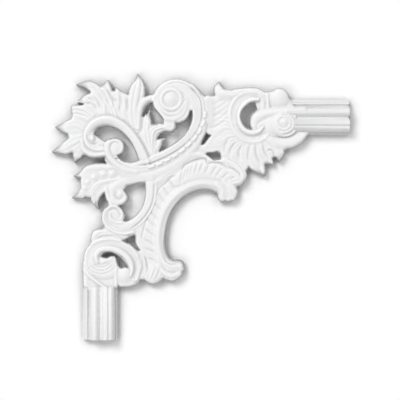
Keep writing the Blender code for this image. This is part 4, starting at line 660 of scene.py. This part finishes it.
def shell(r):
    """The leaf shell round the crescent hole, where the ornament runs into the level arm."""
    for path, width, top in [
        ([(234, 123), (224, 120), (214, 121.6), (207.6, 128.4)], 5, 9.8),
        ([(235, 130), (226, 127.6), (217, 131.6), (210, 138)], 5.4, 9.9),
        ([(237, 135.6), (228, 136.6), (219, 142), (208.4, 147.4)], 6, 9.9),
        ([(241, 139), (232, 144), (226, 150.4), (224, 156)], 5.4, 9.8),
        ([(245, 141), (237.6, 148.6), (233, 156), (236, 164)], 5, 9.8),
        ([(249, 141.6), (243.6, 152), (243.6, 162), (246.6, 171)], 5, 9.7),
        ([(254, 141), (252.6, 154), (257, 165), (265, 175.6)], 9.4, 10),
        ([(260, 141), (262, 152), (266.6, 159), (272.8, 164.4)], 7, 9.9),
        ([(267, 139), (274, 146), (278.8, 154), (279.6, 161.6)], 7.6, 9.9),
    ]:
        lobe(r, path, width, top)
    # long strokes that run in from the left
    for k in range(STROKES):
        r.crease([(207, 103 + 6.2 * k), (214, 103.6 + 6 * k), (222, 99.6 + 5.8 * k), (229, 93 + 5.6 * k)],
                 1.1, 0.24)
    # furrows between the downward lobes
    for line in ([(229, 138), (225, 146), (224, 154)], [(236, 141), (231, 149), (229.6, 158)],
                 [(243, 143), (239, 153), (239.4, 163)], [(250, 144), (248, 154), (248.6, 164)],
                 [(256, 144), (256.4, 154), (260.4, 164.6)], [(263, 143), (264.8, 151.6), (269.6, 159.4)]):
        r.crease(line, 1.0, 0.55)
    # crescent collar under the small volute
    r.sweep([(266, 136.6), (278, 142.2), (290, 142), (299, 138), (306.6, 131.6)], [4, 6, 6.8, 6, 3.4],
            [10, 10, 10, 9.8, 9], leaning(-0.2), moat=0.25)
    r.crease([(267, 151), (270.6, 150), (273.2, 152.6), (274.4, 157)], 0.9, 0.75)
    # the horn and the wave that runs from it over the ring
    r.sweep([(266, 97), (256, 92.6), (244, 92.8), (231, 95), (220.4, 93.2), (218.4, 88), (219, 83.2)],
            [4, 5, 5, 5.4, 6.2, 5, 1.8], [10.2, 10.4, 10.4, 10.4, 10, 9.2, 7.4], leaning(-0.3), moat=0.25)
    r.crease([(262, 92.6), (252, 90.4), (241, 91.8), (231, 93.2), (223.6, 90.4)], 0.7, 0.38)
    # outer ring, trough and bright rim round the hole
    r.sweep([(263, 98.5), (254, 95.6), (245, 97.4), (238, 102.8), (234.4, 111), (234.8, 121), (238.6, 130),
             (246, 136.4), (255, 138), (263, 134.5), (267.5, 127), (266, 119)],
            [3, 4.8, 5.6] + [5.8] * 5 + [5.6, 5.2, 4.6, 3.8], 10.4, dished_section, edge=8.4, moat=0.25)
    r.sweep([(258, 99.4), (250, 100.2), (243.4, 105.3), (239.4, 113.5), (239.8, 122.5), (244.2, 129.6),
             (251, 132.6), (258, 131.6), (263, 127.5)],
            [2.2, 3.0, 3.2, 3.2, 3.2, 3.4, 3.6, 3, 1.8], 12.2, leaning(0.1, 3), edge=9.6)
    # lobes between ring and knob
    r.sweep([(262.5, 110), (262.4, 102), (260, 97)], [4.4, 4.6, 3.4], [10.2, 10.4, 10], soft_section,
            moat=0.25)
    r.sweep([(267.8, 110), (267.8, 102), (267.2, 95.6)], 1.7, [10.6, 10.8, 10], soft_section, edge=9.6,
            moat=0.5)
    r.dome((279.4, 98.6), (10, 10.6), 11.6, soft_section, edge=9, moat=0.4)
    # the husk inside the ring: leaf turns round the eye of the shell
    r.dome((262, 122), (12.4, 11), 10.4, flat_section, edge=9.8)
    for line in ([(286, 118), (274, 118.6), (262, 120.4), (256.6, 125), (257, 130.4)],
                 [(276, 122.6), (267, 124.4), (262, 128.6)],
                 [(290, 113.8), (274, 115), (263, 117), (255.4, 121)],
                 [(271, 132), (268, 127.6), (264.4, 133.6)]):
        r.crease(line, 0.8, 0.45)
    # arm's ridge winding into the eye of the shell
    r.sweep([(304, 110.6), (288, 111.6), (274, 112.6), (262.5, 115), (255.4, 119.4), (253.6, 125)],
            [5, 5, 4.6, 4.2, 3.6, 2], [12.7, 12.9, 12.1, 11.4, 10.9, 10.4], soft_section, edge=10.2,
            moat=0.25)
    # the small volute
    r.dome((276, 124.4), (13, 11.4), 12.4, soft_section, edge=10)
    r.dome((284, 123.6), (13.6, 12.6), 13.5, flat_section, edge=11.4)
    r.ring((284.6, 123.6), 10.8, 1.0, 0.75, -75, 100)
    r.ring((283.9, 123.2), 8.2, 0.9, 0.46, -110, 130)
    r.ring((283.7, 122.8), 5.0, 0.8, 0.38)
    r.dome((283.6, 122.4), 3.2, 14.4, soft_section, edge=13)


def lower_shell(r):
    """The shell round the second crescent hole, where the ornament runs into the upright arm."""
    # leaf flap on the outer side
    r.sweep([(126, 238), (114, 235.6), (104, 233.4), (97, 234.4), (94.2, 239.4)], [3, 4, 4.8, 5.4, 4],
            [9.2, 9.6, 9.9, 9.8, 9], leaning(-0.3), moat=0.25)
    r.crease([(97, 241.5), (101, 236.8), (108, 235.6), (118, 236.2)], 0.7, 0.45)
    r.crease([(96, 236), (102, 232.6), (110, 232.6)], 0.7, 0.3)
    # outer hollow band
    r.sweep([(135, 278), (137, 267), (133.6, 256.6), (127, 249), (118, 244.2), (107, 243), (97.6, 245.4),
             (90.8, 251), (88.4, 259), (90.6, 267), (96.5, 271.6), (103.5, 270.5)],
            [3, 4, 4.8, 5, 5.2, 5.2, 5.2, 5.2, 5, 4.4, 3.6, 2], 10.4, dished_section, edge=8.4, moat=0.25)
    # bright rim of the hole
    r.sweep([(97.4, 262), (96.3, 255.6), (99.8, 250.4), (107.5, 248.6), (116.5, 250), (124.5, 254.6),
             (130.3, 262), (131.9, 268.5), (131, 275.5)],
            [2.2, 3.2, 3.3, 3.3, 3.4, 3.5, 3.4, 2.8, 1.6], [11.6, 11.8, 12] + [12.2] * 5 + [11.8],
            leaning(0.1, 3.2), edge=9.8)
    # the leaf that curls up inside it
    r.dome((104, 266), (16, 12), 10, flat_section, edge=9.4)
    r.sweep([(97, 263), (104, 261.6), (110, 258.4)], [3, 3.6, 2.4], [10.4, 10.6, 10.4], soft_section,
            edge=9.8)
    for size in (6.4, 9.4, 12.8, 16.4):
        r.ring((101.6, 258.6), (size, size * 0.92), 0.9, 0.34, 35, 145)
    # the knob, the thin ridge beside it and the lip under it
    r.dome((125, 275), (11, 12), 9.6, soft_section, edge=9)
    r.dome((124.4, 275), (7.2, 7.6), 11, soft_section, edge=9.4, moat=0.3)
    r.sweep([(116.3, 268), (115.9, 277), (116.4, 287)], [1.5, 1.7, 1.7], 10.2, soft_section, edge=9)
    r.sweep([(121, 284.6), (130, 284), (138, 279)], [3, 3, 2.6], 9, soft_section, edge=8)
    # plate between knob and arch, with fine upright lines
    for x in (138.4, 141.6, 144.8):
        r.crease([(x - 1, 254), (x, 264), (x - 0.6, 276)], 0.6, -0.38)
    # the fillet that winds off the arm, and the foot outside it
    r.sweep([(83.5, 262), (84.8, 269), (89.5, 275.6), (96.5, 281.3), (105, 287.5)], [1, 2, 2.2, 2.2, 1.8],
            [8.6, 9.6, 10.2, 10.4, 10.2], soft_section, edge=8.6, moat=0.25)
    r.sweep([(84.4, 268), (86, 277), (86.6, 285)], [2.4, 3.8, 4], [8, 9, 9.2], soft_section, edge=7.6)


def openings(r):
    """The holes that go right through."""
    # the slot in the fan's outer side
    r.cut([(74, 102.3), (80, 102.2)], [(84.8, 103.6), (82, 105.4)], [(74, 105.2)])
    # the kidney-shaped hole in the corner leaf
    r.cut([(94, 134.6), (95, 131), (100, 127.6), (108, 126), (117, 128.6), (125, 134.6), (131, 142),
           (135.5, 151)],
          [(138.8, 160.3), (135, 161.8), (130, 162.4), (124, 161.8), (120, 159.3)],
          [(117, 155.4), (120.5, 154), (124, 151), (125, 146.5), (123.8, 141.6), (120, 138.6), (114.5, 137.8),
           (109, 139)],
          [(105, 141.8), (99.6, 138.4)])
    # the leaf-shaped hole left of the volute
    r.cut([(151.7, 102.6), (154, 107), (157.8, 112), (162, 117)],
          [(163.8, 120)], [(163.275, 123.85)],
          [(163.2, 124.2), (158, 123.2)],
          [(152.6, 124.4), (153.3, 119), (152, 114), (149.3, 110.6), (146.3, 113.5), (143.8, 117)],
          [(141.8, 116.4), (143, 111.5), (146.2, 106)])
    # the sickle-shaped hole under the volute
    r.cut([(190.2, 110.8)],
          [(192.2, 110.8), (192.4, 118), (190.3, 126), (186, 133.5), (180, 139.8), (173, 144.8),
           (167, 148.3)],
          [(162, 151.4), (161.4, 149.5), (163, 145)],
          [(165, 138.6), (160.5, 139)],
          [(156.4, 140.4), (157.8, 136.5)],
          [(160.6, 132.8), (167, 133), (172.3, 131.5), (175.6, 127.5)],
          [(176.6, 124.2), (180.5, 122.5), (185, 120.2), (188, 116.6)])
    # two small holes between the scroll and the shell
    r.cut([(206.3, 132.3), (208.6, 134.2)], [(211.5, 135.2), (207.5, 140)], [(203.3, 144.8)],
          [(200.7, 145), (202.3, 140), (204.3, 136)])
    r.cut([(205.8, 154.6), (206.8, 152.9), (213, 152.2)], [(217.6, 150.9), (219.3, 153.5)], [(221.4, 159.4)],
          [(214, 160.6), (210, 157.4)])
    # the half-moon between the curls and the snail's outer band
    r.cut([(145.4, 182.8), (145.8, 190), (144.8, 200), (141.4, 209), (136, 215.6), (130.4, 219.8),
           (126, 221.6)],
          [(123.4, 221), (125, 216), (125.6, 211), (124.4, 207)],
          [(122.6, 205.2), (126, 202.6), (128, 198.8), (127.2, 194.8), (124.5, 191.6)],
          [(123.6, 189.6), (127, 187), (132, 184.6), (138, 182.8)])
    # the three-cornered hole over the lower shell
    r.cut([(123.7, 239.8), (129, 237.2)], [(134.6, 234.3), (135.6, 241.5), (138, 247)], [(140.8, 250.4)],
          [(138, 251.2), (134.5, 248), (130, 244.2)])
    # the crescent holes of the lower and the upper shell
    r.cut([(100.8, 256.4), (103.5, 253.2), (108, 252), (113, 252.8), (119, 256.3), (124, 261.3),
           (127.4, 265.6)],
          [(128.3, 268.4), (125, 267.3), (121, 268.3), (118.4, 266), (117, 262.5), (116, 258.6)],
          [(114.6, 256.4), (111, 256.4), (107, 258.1), (103.5, 257.6)])
    r.cut([(255, 102.6)],
          [(257.4, 109.8), (252.5, 112.8), (249.2, 116.6), (248.5, 120.8), (249.8, 125.2)],
          [(251.2, 128.8)],
          [(250, 129.7), (246, 127.6), (242, 122.6), (240.3, 116.6), (242, 110.6), (246, 106), (250.5, 103)])


# The moulding's profile, from its outer edge, as (across, height): spans that meet at crisp arrises
PROFILE = [
    [(0, 0)],
    [(0, 5.2)],
    [(1.9, 5.2), (2.3, 6.6), (3.5, 7.4), (4.7, 6.9)],
    [(5.3, 6.0), (7.4, 8.0), (9.4, 10.8), (11.8, 12.6), (14.2, 12.3), (16.2, 10.6)],
    [(17.6, 9.3), (19.2, 10.6), (21.4, 12.5), (23.4, 12.8)],
    [(25.1, 12.7), (25.4, 11.8)],
    [(26.1, 11.8), (26.8, 12.5), (29.0, 12.4), (31.0, 10.6), (32.0, 8.0)],
    [(32.3, 5.2)],
    [(ARM_WIDTH, 5.2)],
    [(ARM_WIDTH, 0)],
]


def carve(step):
    """The whole ornament on its sheet, without the straight arms."""
    r = Relief(SHEET_LOW, SHEET_HIGH, step)
    for form in (ground, inner_arch, shell, lower_shell, corner_leaf, bead_pod, small_curl, snail_scroll,
                 great_scroll, openings):
        form(r)
    r.finish(EDGE_HEIGHT, EDGE_ROUNDING)
    return r


def place(x, y, depth):
    """A point of the sheet, at a depth in front of the wall, in the model's metres."""
    return ((x - CORNER[0]) * MM, -depth * RELIEF_DEPTH * MM, (CORNER[1] - y) * MM)


def relief_mesh(name, sheet, spare):
    """The relief as a closed mesh: carved front, walls along the outline, flat stock behind."""
    mesh = bmesh.new()
    inside = sheet.cover > 0
    made = {}

    def pair(key, x, y, height):
        """The front and back corners of the casting at one place, made once."""
        if key not in made:
            made[key] = mesh.verts.new(place(x, y, height)), mesh.verts.new(place(x, y, -spare))
        return made[key]

    def corner(j, i):
        return pair((j, i), sheet.x[i], sheet.y[j], sheet.height[j, i])

    def crossing(a, b):
        """The pair where the outline crosses between two neighbouring points of the sheet."""
        (ja, ia), (jb, ib) = sorted((a, b))
        ca, cb = sheet.cover[ja, ia], sheet.cover[jb, ib]
        t = min(max(ca / (ca - cb), CROSSING_MARGIN), 1 - CROSSING_MARGIN)
        x = sheet.x[ia] + t * (sheet.x[ib] - sheet.x[ia])
        y = sheet.y[ja] + t * (sheet.y[jb] - sheet.y[ja])
        height = sheet.height[ja, ia] + t * (sheet.height[jb, ib] - sheet.height[ja, ia])
        return pair((ja, ia, jb, ib), x, y, height)

    touched = inside[:-1, :-1] | inside[1:, :-1] | inside[:-1, 1:] | inside[1:, 1:]
    for j, i in zip(*np.nonzero(touched)):
        ring = [(j, i), (j + 1, i), (j + 1, i + 1), (j, i + 1)]
        outline = []
        for a, b in zip(ring, ring[1:] + ring[:1]):
            if inside[a]:
                outline.append((corner(*a), False))
            if inside[a] != inside[b]:
                outline.append((crossing(a, b), bool(inside[a])))
        mesh.faces.new([p[0] for p, _ in outline])
        mesh.faces.new([p[1] for p, _ in reversed(outline)])
        for (a, leaves), (b, _) in zip(outline, outline[1:] + outline[:1]):
            if leaves:
                mesh.faces.new((a[0], a[1], b[1], b[0]))
    return solid_data(name, mesh)


def mesh_data(name, mesh):
    """The built mesh as the data of an object."""
    data = bpy.data.meshes.new(name)
    mesh.to_mesh(data)
    mesh.free()
    return data


def solid_data(name, mesh):
    """The same for a closed solid, in triangles that face outwards."""
    bmesh.ops.triangulate(mesh, faces=mesh.faces[:])
    bmesh.ops.recalc_face_normals(mesh, faces=mesh.faces[:])
    return mesh_data(name, mesh)


def arm_mesh(name, level, sizes):
    """A straight length of the moulding, its profile extruded along one arm."""
    mesh = bmesh.new()
    corner, middle = CORNER if level else CORNER[::-1]
    root = ARM_ROOTS[0] if level else ARM_ROOTS[1]
    end = corner + (sizes.level_arm if level else sizes.upright_arm) / MM
    widening = sizes.moulding_width / MM / ARM_WIDTH
    profile = [(middle + (across - ARM_WIDTH / 2) * widening, height if height else -ARM_SPARE)
               for across, height in closed_line(PROFILE, ARM_SMOOTHNESS)]
    near, far = ([mesh.verts.new(place(*((along, side) if level else (side, along)), depth))
                  for side, depth in profile] for along in (root, end))
    for k in range(len(profile)):
        mesh.faces.new((near[k - 1], near[k], far[k], far[k - 1]))
    mesh.faces.new(near)
    mesh.faces.new(reversed(far))
    return solid_data(name, mesh)


def wall_block():
    """The wall itself: everything behind the plane of the back is cut away by it."""
    mesh = bmesh.new()
    bmesh.ops.create_cube(mesh, size=1)
    reach, thick = WALL_BLOCK
    bmesh.ops.scale(mesh, vec=(reach, thick, reach), verts=mesh.verts)
    bmesh.ops.translate(mesh, vec=(reach / 4, thick / 2, -reach / 4), verts=mesh.verts)
    return mesh_data("wall_block", mesh)


def linked(name, data):
    """A new object with that data, in the scene."""
    made = bpy.data.objects.new(name, data)
    bpy.context.scene.collection.objects.link(made)
    return made


def joined_and_cut(name, blank, unions, cut_away):
    """The blank with others added and one taken away, as one plain closed mesh."""
    work = linked(name + "_work", blank)
    guides = []
    for k, (data, operation) in enumerate([(u, "UNION") for u in unions] + [(cut_away, "DIFFERENCE")]):
        guide = linked(f"{name}_guide_{k}", data)
        guides.append(guide)
        modifier = work.modifiers.new(guide.name, "BOOLEAN")
        modifier.operation, modifier.solver, modifier.object = operation, "MANIFOLD", guide
    bpy.context.view_layer.update()
    finished = bpy.data.meshes.new_from_object(work.evaluated_get(bpy.context.evaluated_depsgraph_get()))
    finished.name = name
    for old in [work, *guides]:
        bpy.data.objects.remove(old, do_unlink=True)
    return finished


def averaged(sheet, reach):
    """The carving's height averaged round each point of the sheet."""
    size = max(1, round(reach / sheet.step))
    weight = np.hanning(2 * size + 3)[1:-1]

    def spread(values):
        for axis in (0, 1):
            values = np.apply_along_axis(np.convolve, axis, values, weight, "same")
        return values

    carved = sheet.cover > 0
    return spread(np.where(carved, sheet.height, 0)) / np.maximum(spread(carved.astype(float)), TINY)


def paint_shade_mask(data, sheet):
    """Writes the painted shade of each point: more where it lies below the carving round it, on fine lines
    and low near the wall, less on ridges.
    """
    broad, fine = averaged(sheet, HOLLOW_REACH), averaged(sheet, LINE_REACH)
    points = np.empty(len(data.vertices) * 3)
    data.vertices.foreach_get("co", points)
    x, y, z = points.reshape(-1, 3).T / MM
    i = np.clip(((x + CORNER[0] - sheet.x[0]) / sheet.step).round().astype(int), 0, len(sheet.x) - 1)
    j = np.clip(((CORNER[1] - z - sheet.y[0]) / sheet.step).round().astype(int), 0, len(sheet.y) - 1)
    height = -y / RELIEF_DEPTH
    hollow = np.clip((broad[j, i] - height) / HOLLOW_DEPTH, -1, 1)
    line = np.clip((fine[j, i] - height) / LINE_DEPTH, -1, 1)
    level = (np.abs(z) <= ARM_WIDTH / 2) & (x > ARM_ROOTS[0] - CORNER[0])
    upright = (np.abs(x) <= ARM_WIDTH / 2) & (-z > ARM_ROOTS[1] - CORNER[1])
    straight = level | upright
    carved = (sheet.cover[j, i] > -sheet.step) & ~straight
    # painted shade on the sides near the wall, growing towards it; the sides of holes are left without it
    low = np.where(carved, np.clip((SIDE_TOP - height) / SIDE_DEPTH, 0, 1) * ~sheet.hole[j, i],
                   height < ARM_SIDE_TOP)
    # painted shade in hollows and along fine lines, and painted light on ridges, over an even share
    # everywhere
    shade_share = NEUTRAL_SHADE + np.where(carved, HOLLOW_SHADE * hollow + LINE_SHADE * line, 0)
    shade_mask = np.maximum(np.clip(shade_share, 0, 1), low)
    attribute = data.attributes.new("hollow", "FLOAT", "POINT")
    attribute.data.foreach_set("value", shade_mask.astype(np.float32))


def shade(data):
    """Smooth shading, with the arrises kept crisp."""
    data.shade_smooth()
    data.set_sharp_from_angle(angle=math.radians(SHARP_ANGLE))


# Materials

def add(nodes, kind, **values):
    """A node with its sockets and settings given by name."""
    node = nodes.new(kind)
    for key, value in values.items():
        if key in node.inputs:
            node.inputs[key].default_value = value
        else:
            setattr(node, key, value)
    return node


def new_material(name, **values):
    """A material with the sockets of its shader given by name, its nodes and links, and the shader."""
    material = bpy.data.materials.new(name)
    material.use_nodes = True
    nodes = material.node_tree.nodes
    shader = nodes["Principled BSDF"]
    for key, value in values.items():
        shader.inputs[key.replace("_", " ")].default_value = value
    return material, nodes, material.node_tree.links, shader


def soft_mottle_group():
    """Slow, faint changes of tone, and a fine skin, as a primed casting has."""
    group = bpy.data.node_groups.new("soft_mottle", "ShaderNodeTree")
    for name, way, kind in (("Light", "INPUT", "Color"), ("Dark", "INPUT", "Color"),
                            ("Patch Scale", "INPUT", "Float"), ("Skin Scale", "INPUT", "Float"),
                            ("Color", "OUTPUT", "Color"), ("Skin", "OUTPUT", "Float")):
        group.interface.new_socket(name, in_out=way, socket_type="NodeSocket" + kind)
    nodes, links = group.nodes, group.links
    given = nodes.new("NodeGroupInput")
    out = nodes.new("NodeGroupOutput")
    where = nodes.new("ShaderNodeTexCoord")
    patches = add(nodes, "ShaderNodeTexNoise", Detail=3.0, Roughness=0.55)
    skin = add(nodes, "ShaderNodeTexNoise", Detail=2.0, Roughness=0.5)
    mix = add(nodes, "ShaderNodeMix", data_type="RGBA")
    links.new(where.outputs["Object"], patches.inputs["Vector"])
    links.new(where.outputs["Object"], skin.inputs["Vector"])
    links.new(given.outputs["Patch Scale"], patches.inputs["Scale"])
    links.new(given.outputs["Skin Scale"], skin.inputs["Scale"])
    links.new(patches.outputs["Fac"], mix.inputs["Factor"])
    links.new(given.outputs["Dark"], mix.inputs["A"])
    links.new(given.outputs["Light"], mix.inputs["B"])
    links.new(mix.outputs["Result"], out.inputs["Color"])
    links.new(skin.outputs["Fac"], out.inputs["Skin"])
    return group


def casting_material(look):
    """Matt white primer on a smooth casting, with painted shade in the hollows, along the fine lines and on
    the sides near the wall, and painted lighter on the ridges.
    """
    material, nodes, links, shader = new_material("white_primer", Specular_IOR_Level=PRIMER_SHINE)
    mottle = add(nodes, "ShaderNodeGroup", node_tree=soft_mottle_group())
    white = Vector(look.white)
    mottle.inputs["Light"].default_value = (*white, 1)
    mottle.inputs["Dark"].default_value = (*(white * MOTTLE_DARK), 1)
    mottle.inputs["Patch Scale"].default_value = PATCHES_PER_METRE
    mottle.inputs["Skin Scale"].default_value = SKIN_PER_METRE
    # painted shade: the mask darkens the primer towards the shade tint, on front faces only
    hollow = add(nodes, "ShaderNodeAttribute", attribute_name="hollow")
    painted_shade_mix = add(nodes, "ShaderNodeMix", data_type="RGBA", blend_type="MULTIPLY")
    painted_shade_mix.inputs["B"].default_value = (*look.hollow, 1)
    facing = nodes.new("ShaderNodeNewGeometry")
    parts = nodes.new("ShaderNodeSeparateXYZ")
    front = add(nodes, "ShaderNodeMath", operation="LESS_THAN")
    front.inputs[1].default_value = BACK_FACING
    shaded = add(nodes, "ShaderNodeMath", operation="MULTIPLY")
    rough = add(nodes, "ShaderNodeMapRange")
    rough.inputs["To Min"].default_value = look.roughness - ROUGHNESS_SPREAD
    rough.inputs["To Max"].default_value = look.roughness + ROUGHNESS_SPREAD
    bump = add(nodes, "ShaderNodeBump", Strength=SKIN_STRENGTH, Distance=SKIN_DEPTH)
    links.new(facing.outputs["True Normal"], parts.inputs["Vector"])
    links.new(parts.outputs["Y"], front.inputs[0])
    links.new(front.outputs["Value"], shaded.inputs[0])
    links.new(hollow.outputs["Fac"], shaded.inputs[1])
    links.new(shaded.outputs["Value"], painted_shade_mix.inputs["Factor"])
    links.new(mottle.outputs["Color"], painted_shade_mix.inputs["A"])
    links.new(painted_shade_mix.outputs["Result"], shader.inputs["Base Color"])
    links.new(mottle.outputs["Skin"], rough.inputs["Value"])
    links.new(rough.outputs["Result"], shader.inputs["Roughness"])
    links.new(mottle.outputs["Skin"], bump.inputs["Height"])
    links.new(bump.outputs["Normal"], shader.inputs["Normal"])
    return material


def wall_material(look):
    """A matt white wall that neither hides the piece from someone behind it nor shades its flat back."""
    material, nodes, links, shader = new_material(
        "studio_wall", Base_Color=(*look.wall, 1), Roughness=1.0, Specular_IOR_Level=0.0)
    clear = nodes.new("ShaderNodeBsdfTransparent")
    side = nodes.new("ShaderNodeNewGeometry")
    path = nodes.new("ShaderNodeLightPath")
    touching = add(nodes, "ShaderNodeMath", operation="LESS_THAN")
    touching.inputs[1].default_value = WALL_CONTACT
    passing = add(nodes, "ShaderNodeMath", operation="MAXIMUM")
    mix = nodes.new("ShaderNodeMixShader")
    links.new(path.outputs["Ray Length"], touching.inputs[0])
    links.new(touching.outputs["Value"], passing.inputs[0])
    links.new(side.outputs["Backfacing"], passing.inputs[1])
    links.new(passing.outputs["Value"], mix.inputs["Fac"])
    links.new(shader.outputs["BSDF"], mix.inputs[1])
    links.new(clear.outputs["BSDF"], mix.inputs[2])
    links.new(mix.outputs["Shader"], nodes["Material Output"].inputs["Surface"])
    return material


def floor_material(look):
    """A plain matt floor."""
    return new_material("studio_floor", Base_Color=(*look.floor, 1), Roughness=FLOOR_ROUGHNESS)[0]


# The stage

def stage_square(name, middle, across, up, material):
    """A square of the stage about its middle, between two directions from there to its sides."""
    mesh = bmesh.new()
    middle, across, up = Vector(middle), Vector(across), Vector(up)
    mesh.faces.new([mesh.verts.new(middle + a * across + b * up)
                    for a, b in ((-1, -1), (1, -1), (1, 1), (-1, 1))])
    data = mesh_data(name, mesh)
    data.materials.append(material)
    return linked(name, data)


def soft_sun(name, aim, spread, strength):
    """Even light from one side, spread over an angle as by a large window."""
    lamp = bpy.data.lights.new(name, "SUN")
    lamp.angle, lamp.energy = spread, strength
    linked(name, lamp).rotation_euler = Vector(aim).to_track_quat("-Z", "Y").to_euler()


def front_camera(centre):
    """Straight on to the wall from far back, with a square of VIEW_WIDTH in view."""
    lens = bpy.data.cameras.new("camera")
    lens.lens, lens.sensor_width = CAMERA_LENS, CAMERA_SENSOR
    distance = VIEW_WIDTH / 2 / (CAMERA_SENSOR / 2 / CAMERA_LENS)
    made = linked("camera", lens)
    made.location = (centre[0], -distance - MEAN_DEPTH, centre[1])
    made.rotation_euler = (math.radians(90), 0, 0)
    bpy.context.scene.camera = made


def studio_sky(look):
    """Even light from all round."""
    world = bpy.data.worlds.new("studio")
    world.use_nodes = True
    background = world.node_tree.nodes["Background"]
    background.inputs["Color"].default_value = (*look.sky, 1)
    background.inputs["Strength"].default_value = look.sky_strength
    bpy.context.scene.world = world


# Settings, operators and panel

class CastingSizes(PropertyGroup):
    moulding_width: FloatProperty(
        name="Moulding width", description="Width of the straight moulding that the arms meet",
        default=ARM_WIDTH * MM, unit="LENGTH")
    level_arm: FloatProperty(
        name="Level arm", description="From the corner to the square end of the level arm",
        default=CAD_HIGH.x, unit="LENGTH")
    upright_arm: FloatProperty(
        name="Upright arm", description="From the corner to the square end of the upright arm",
        default=-CAD_LOW.z, unit="LENGTH")
    carving_step: FloatProperty(
        name="Carving step", description="Spacing of the carved surface's points",
        default=0.00058, unit="LENGTH", precision=5)


class CastingLook(PropertyGroup):
    white: FloatVectorProperty(
        name="White", description="Colour of the primed surface", subtype="COLOR",
        default=(0.88, 0.88, 0.88))
    # colour that the painted shade darkens the primer towards
    hollow: FloatVectorProperty(
        name="Shade tint", description="Tint of the sides near the wall and of the deepest hollows",
        subtype="COLOR", default=(0.5, 0.5, 0.51))
    roughness: FloatProperty(
        name="Roughness", description="How matt the primer is", subtype="FACTOR", default=0.55)
    wall: FloatVectorProperty(
        name="Wall", description="Colour of the studio wall", subtype="COLOR", default=(0.9, 0.9, 0.9))
    floor: FloatVectorProperty(
        name="Floor", description="Colour of the studio floor", subtype="COLOR", default=(0.8, 0.8, 0.79))
    sky: FloatVectorProperty(
        name="Room light", description="Colour of the light from all round", subtype="COLOR",
        default=(1, 1, 1))
    sky_strength: FloatProperty(name="Room light strength", description="Light from all round", default=0.7)
    light_strength: FloatProperty(
        name="Soft lights", description="Strength of the four soft lights together", default=1.71)
    light_lean: FloatProperty(
        name="Lean of the lights", description="How far the soft lights stand off the camera's axis",
        default=0.7, subtype="ANGLE")
    light_spread: FloatProperty(
        name="Spread of the lights", description="Angle that each soft light fills", default=0.45,
        subtype="ANGLE")


class CASTING_OT_corner_piece(Operator):
    """Carve the corner piece, join its arms and give it the primer"""

    bl_idname = "casting.corner_piece"
    bl_label = "Corner piece"

    def execute(self, context):
        sizes, look = context.scene.casting_sizes, context.scene.casting_look
        sheet = carve(sizes.carving_step / MM)
        blank = relief_mesh("ornament", sheet, BACK_SPARE)
        arms = [arm_mesh("level_arm", True, sizes), arm_mesh("upright_arm", False, sizes)]
        data = joined_and_cut("corner_casting", blank, arms, wall_block())
        paint_shade_mask(data, sheet)
        shade(data)
        data.materials.clear()
        data.materials.append(casting_material(look))
        piece = linked("corner_casting", data)
        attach(piece, "root")
        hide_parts("corner_piece")
        return {"FINISHED"}


class CASTING_OT_stage(Operator):
    """Set up the wall, floor, lights and camera"""

    bl_idname = "casting.stage"
    bl_label = "Stage"

    def execute(self, context):
        look = context.scene.casting_look
        centre = ((VIEW_CENTRE[0] - CORNER[0]) * MM, (CORNER[1] - VIEW_CENTRE[1]) * MM)
        right, up, back = (WALL_HALF, 0, 0), (0, 0, WALL_HALF), (0, WALL_HALF, 0)
        wall = stage_square("studio_wall", (0, WALL_GAP, 0), right, up, wall_material(look))
        floor = stage_square("studio_floor", (0, 0, -WALL_HALF), right, back, floor_material(look))
        for name, round_axis, share in SOFT_LIGHTS:
            turn, lean = math.radians(round_axis), look.light_lean
            aim = (-math.cos(turn) * math.sin(lean), math.cos(lean), -math.sin(turn) * math.sin(lean))
            soft_sun(name, aim, look.light_spread, look.light_strength * share)
        studio_sky(look)
        front_camera(centre)
        context.scene.view_settings.view_transform = "Standard"
        context.scene.view_settings.gamma = PRINT_GAMMA
        return {"FINISHED"}


class CASTING_PT_panel(Panel):
    """Lists what the file can build, with the sizes and colours that it uses"""

    bl_label = "Moulding corner"
    bl_space_type = "VIEW_3D"
    bl_region_type = "UI"
    bl_category = "Moulding"

    def draw(self, context):
        for operator in OPERATORS:
            self.layout.operator(operator.bl_idname)
        for group in (context.scene.casting_sizes, context.scene.casting_look):
            column = self.layout.column()
            for name in group.bl_rna.properties.keys():
                if name not in ("rna_type", "name"):
                    column.prop(group, name)


OPERATORS = (CASTING_OT_corner_piece, CASTING_OT_stage)
CLASSES = (CastingSizes, CastingLook, *OPERATORS, CASTING_PT_panel)


def register():
    for each in CLASSES:
        bpy.utils.register_class(each)
    bpy.types.Scene.casting_sizes = PointerProperty(type=CastingSizes)
    bpy.types.Scene.casting_look = PointerProperty(type=CastingLook)


def unregister():
    del bpy.types.Scene.casting_sizes
    del bpy.types.Scene.casting_look
    for each in reversed(CLASSES):
        bpy.utils.unregister_class(each)


def main():
    register()
    bpy.ops.casting.corner_piece()
    bpy.ops.casting.stage()


if __name__ == "__main__":
    main()
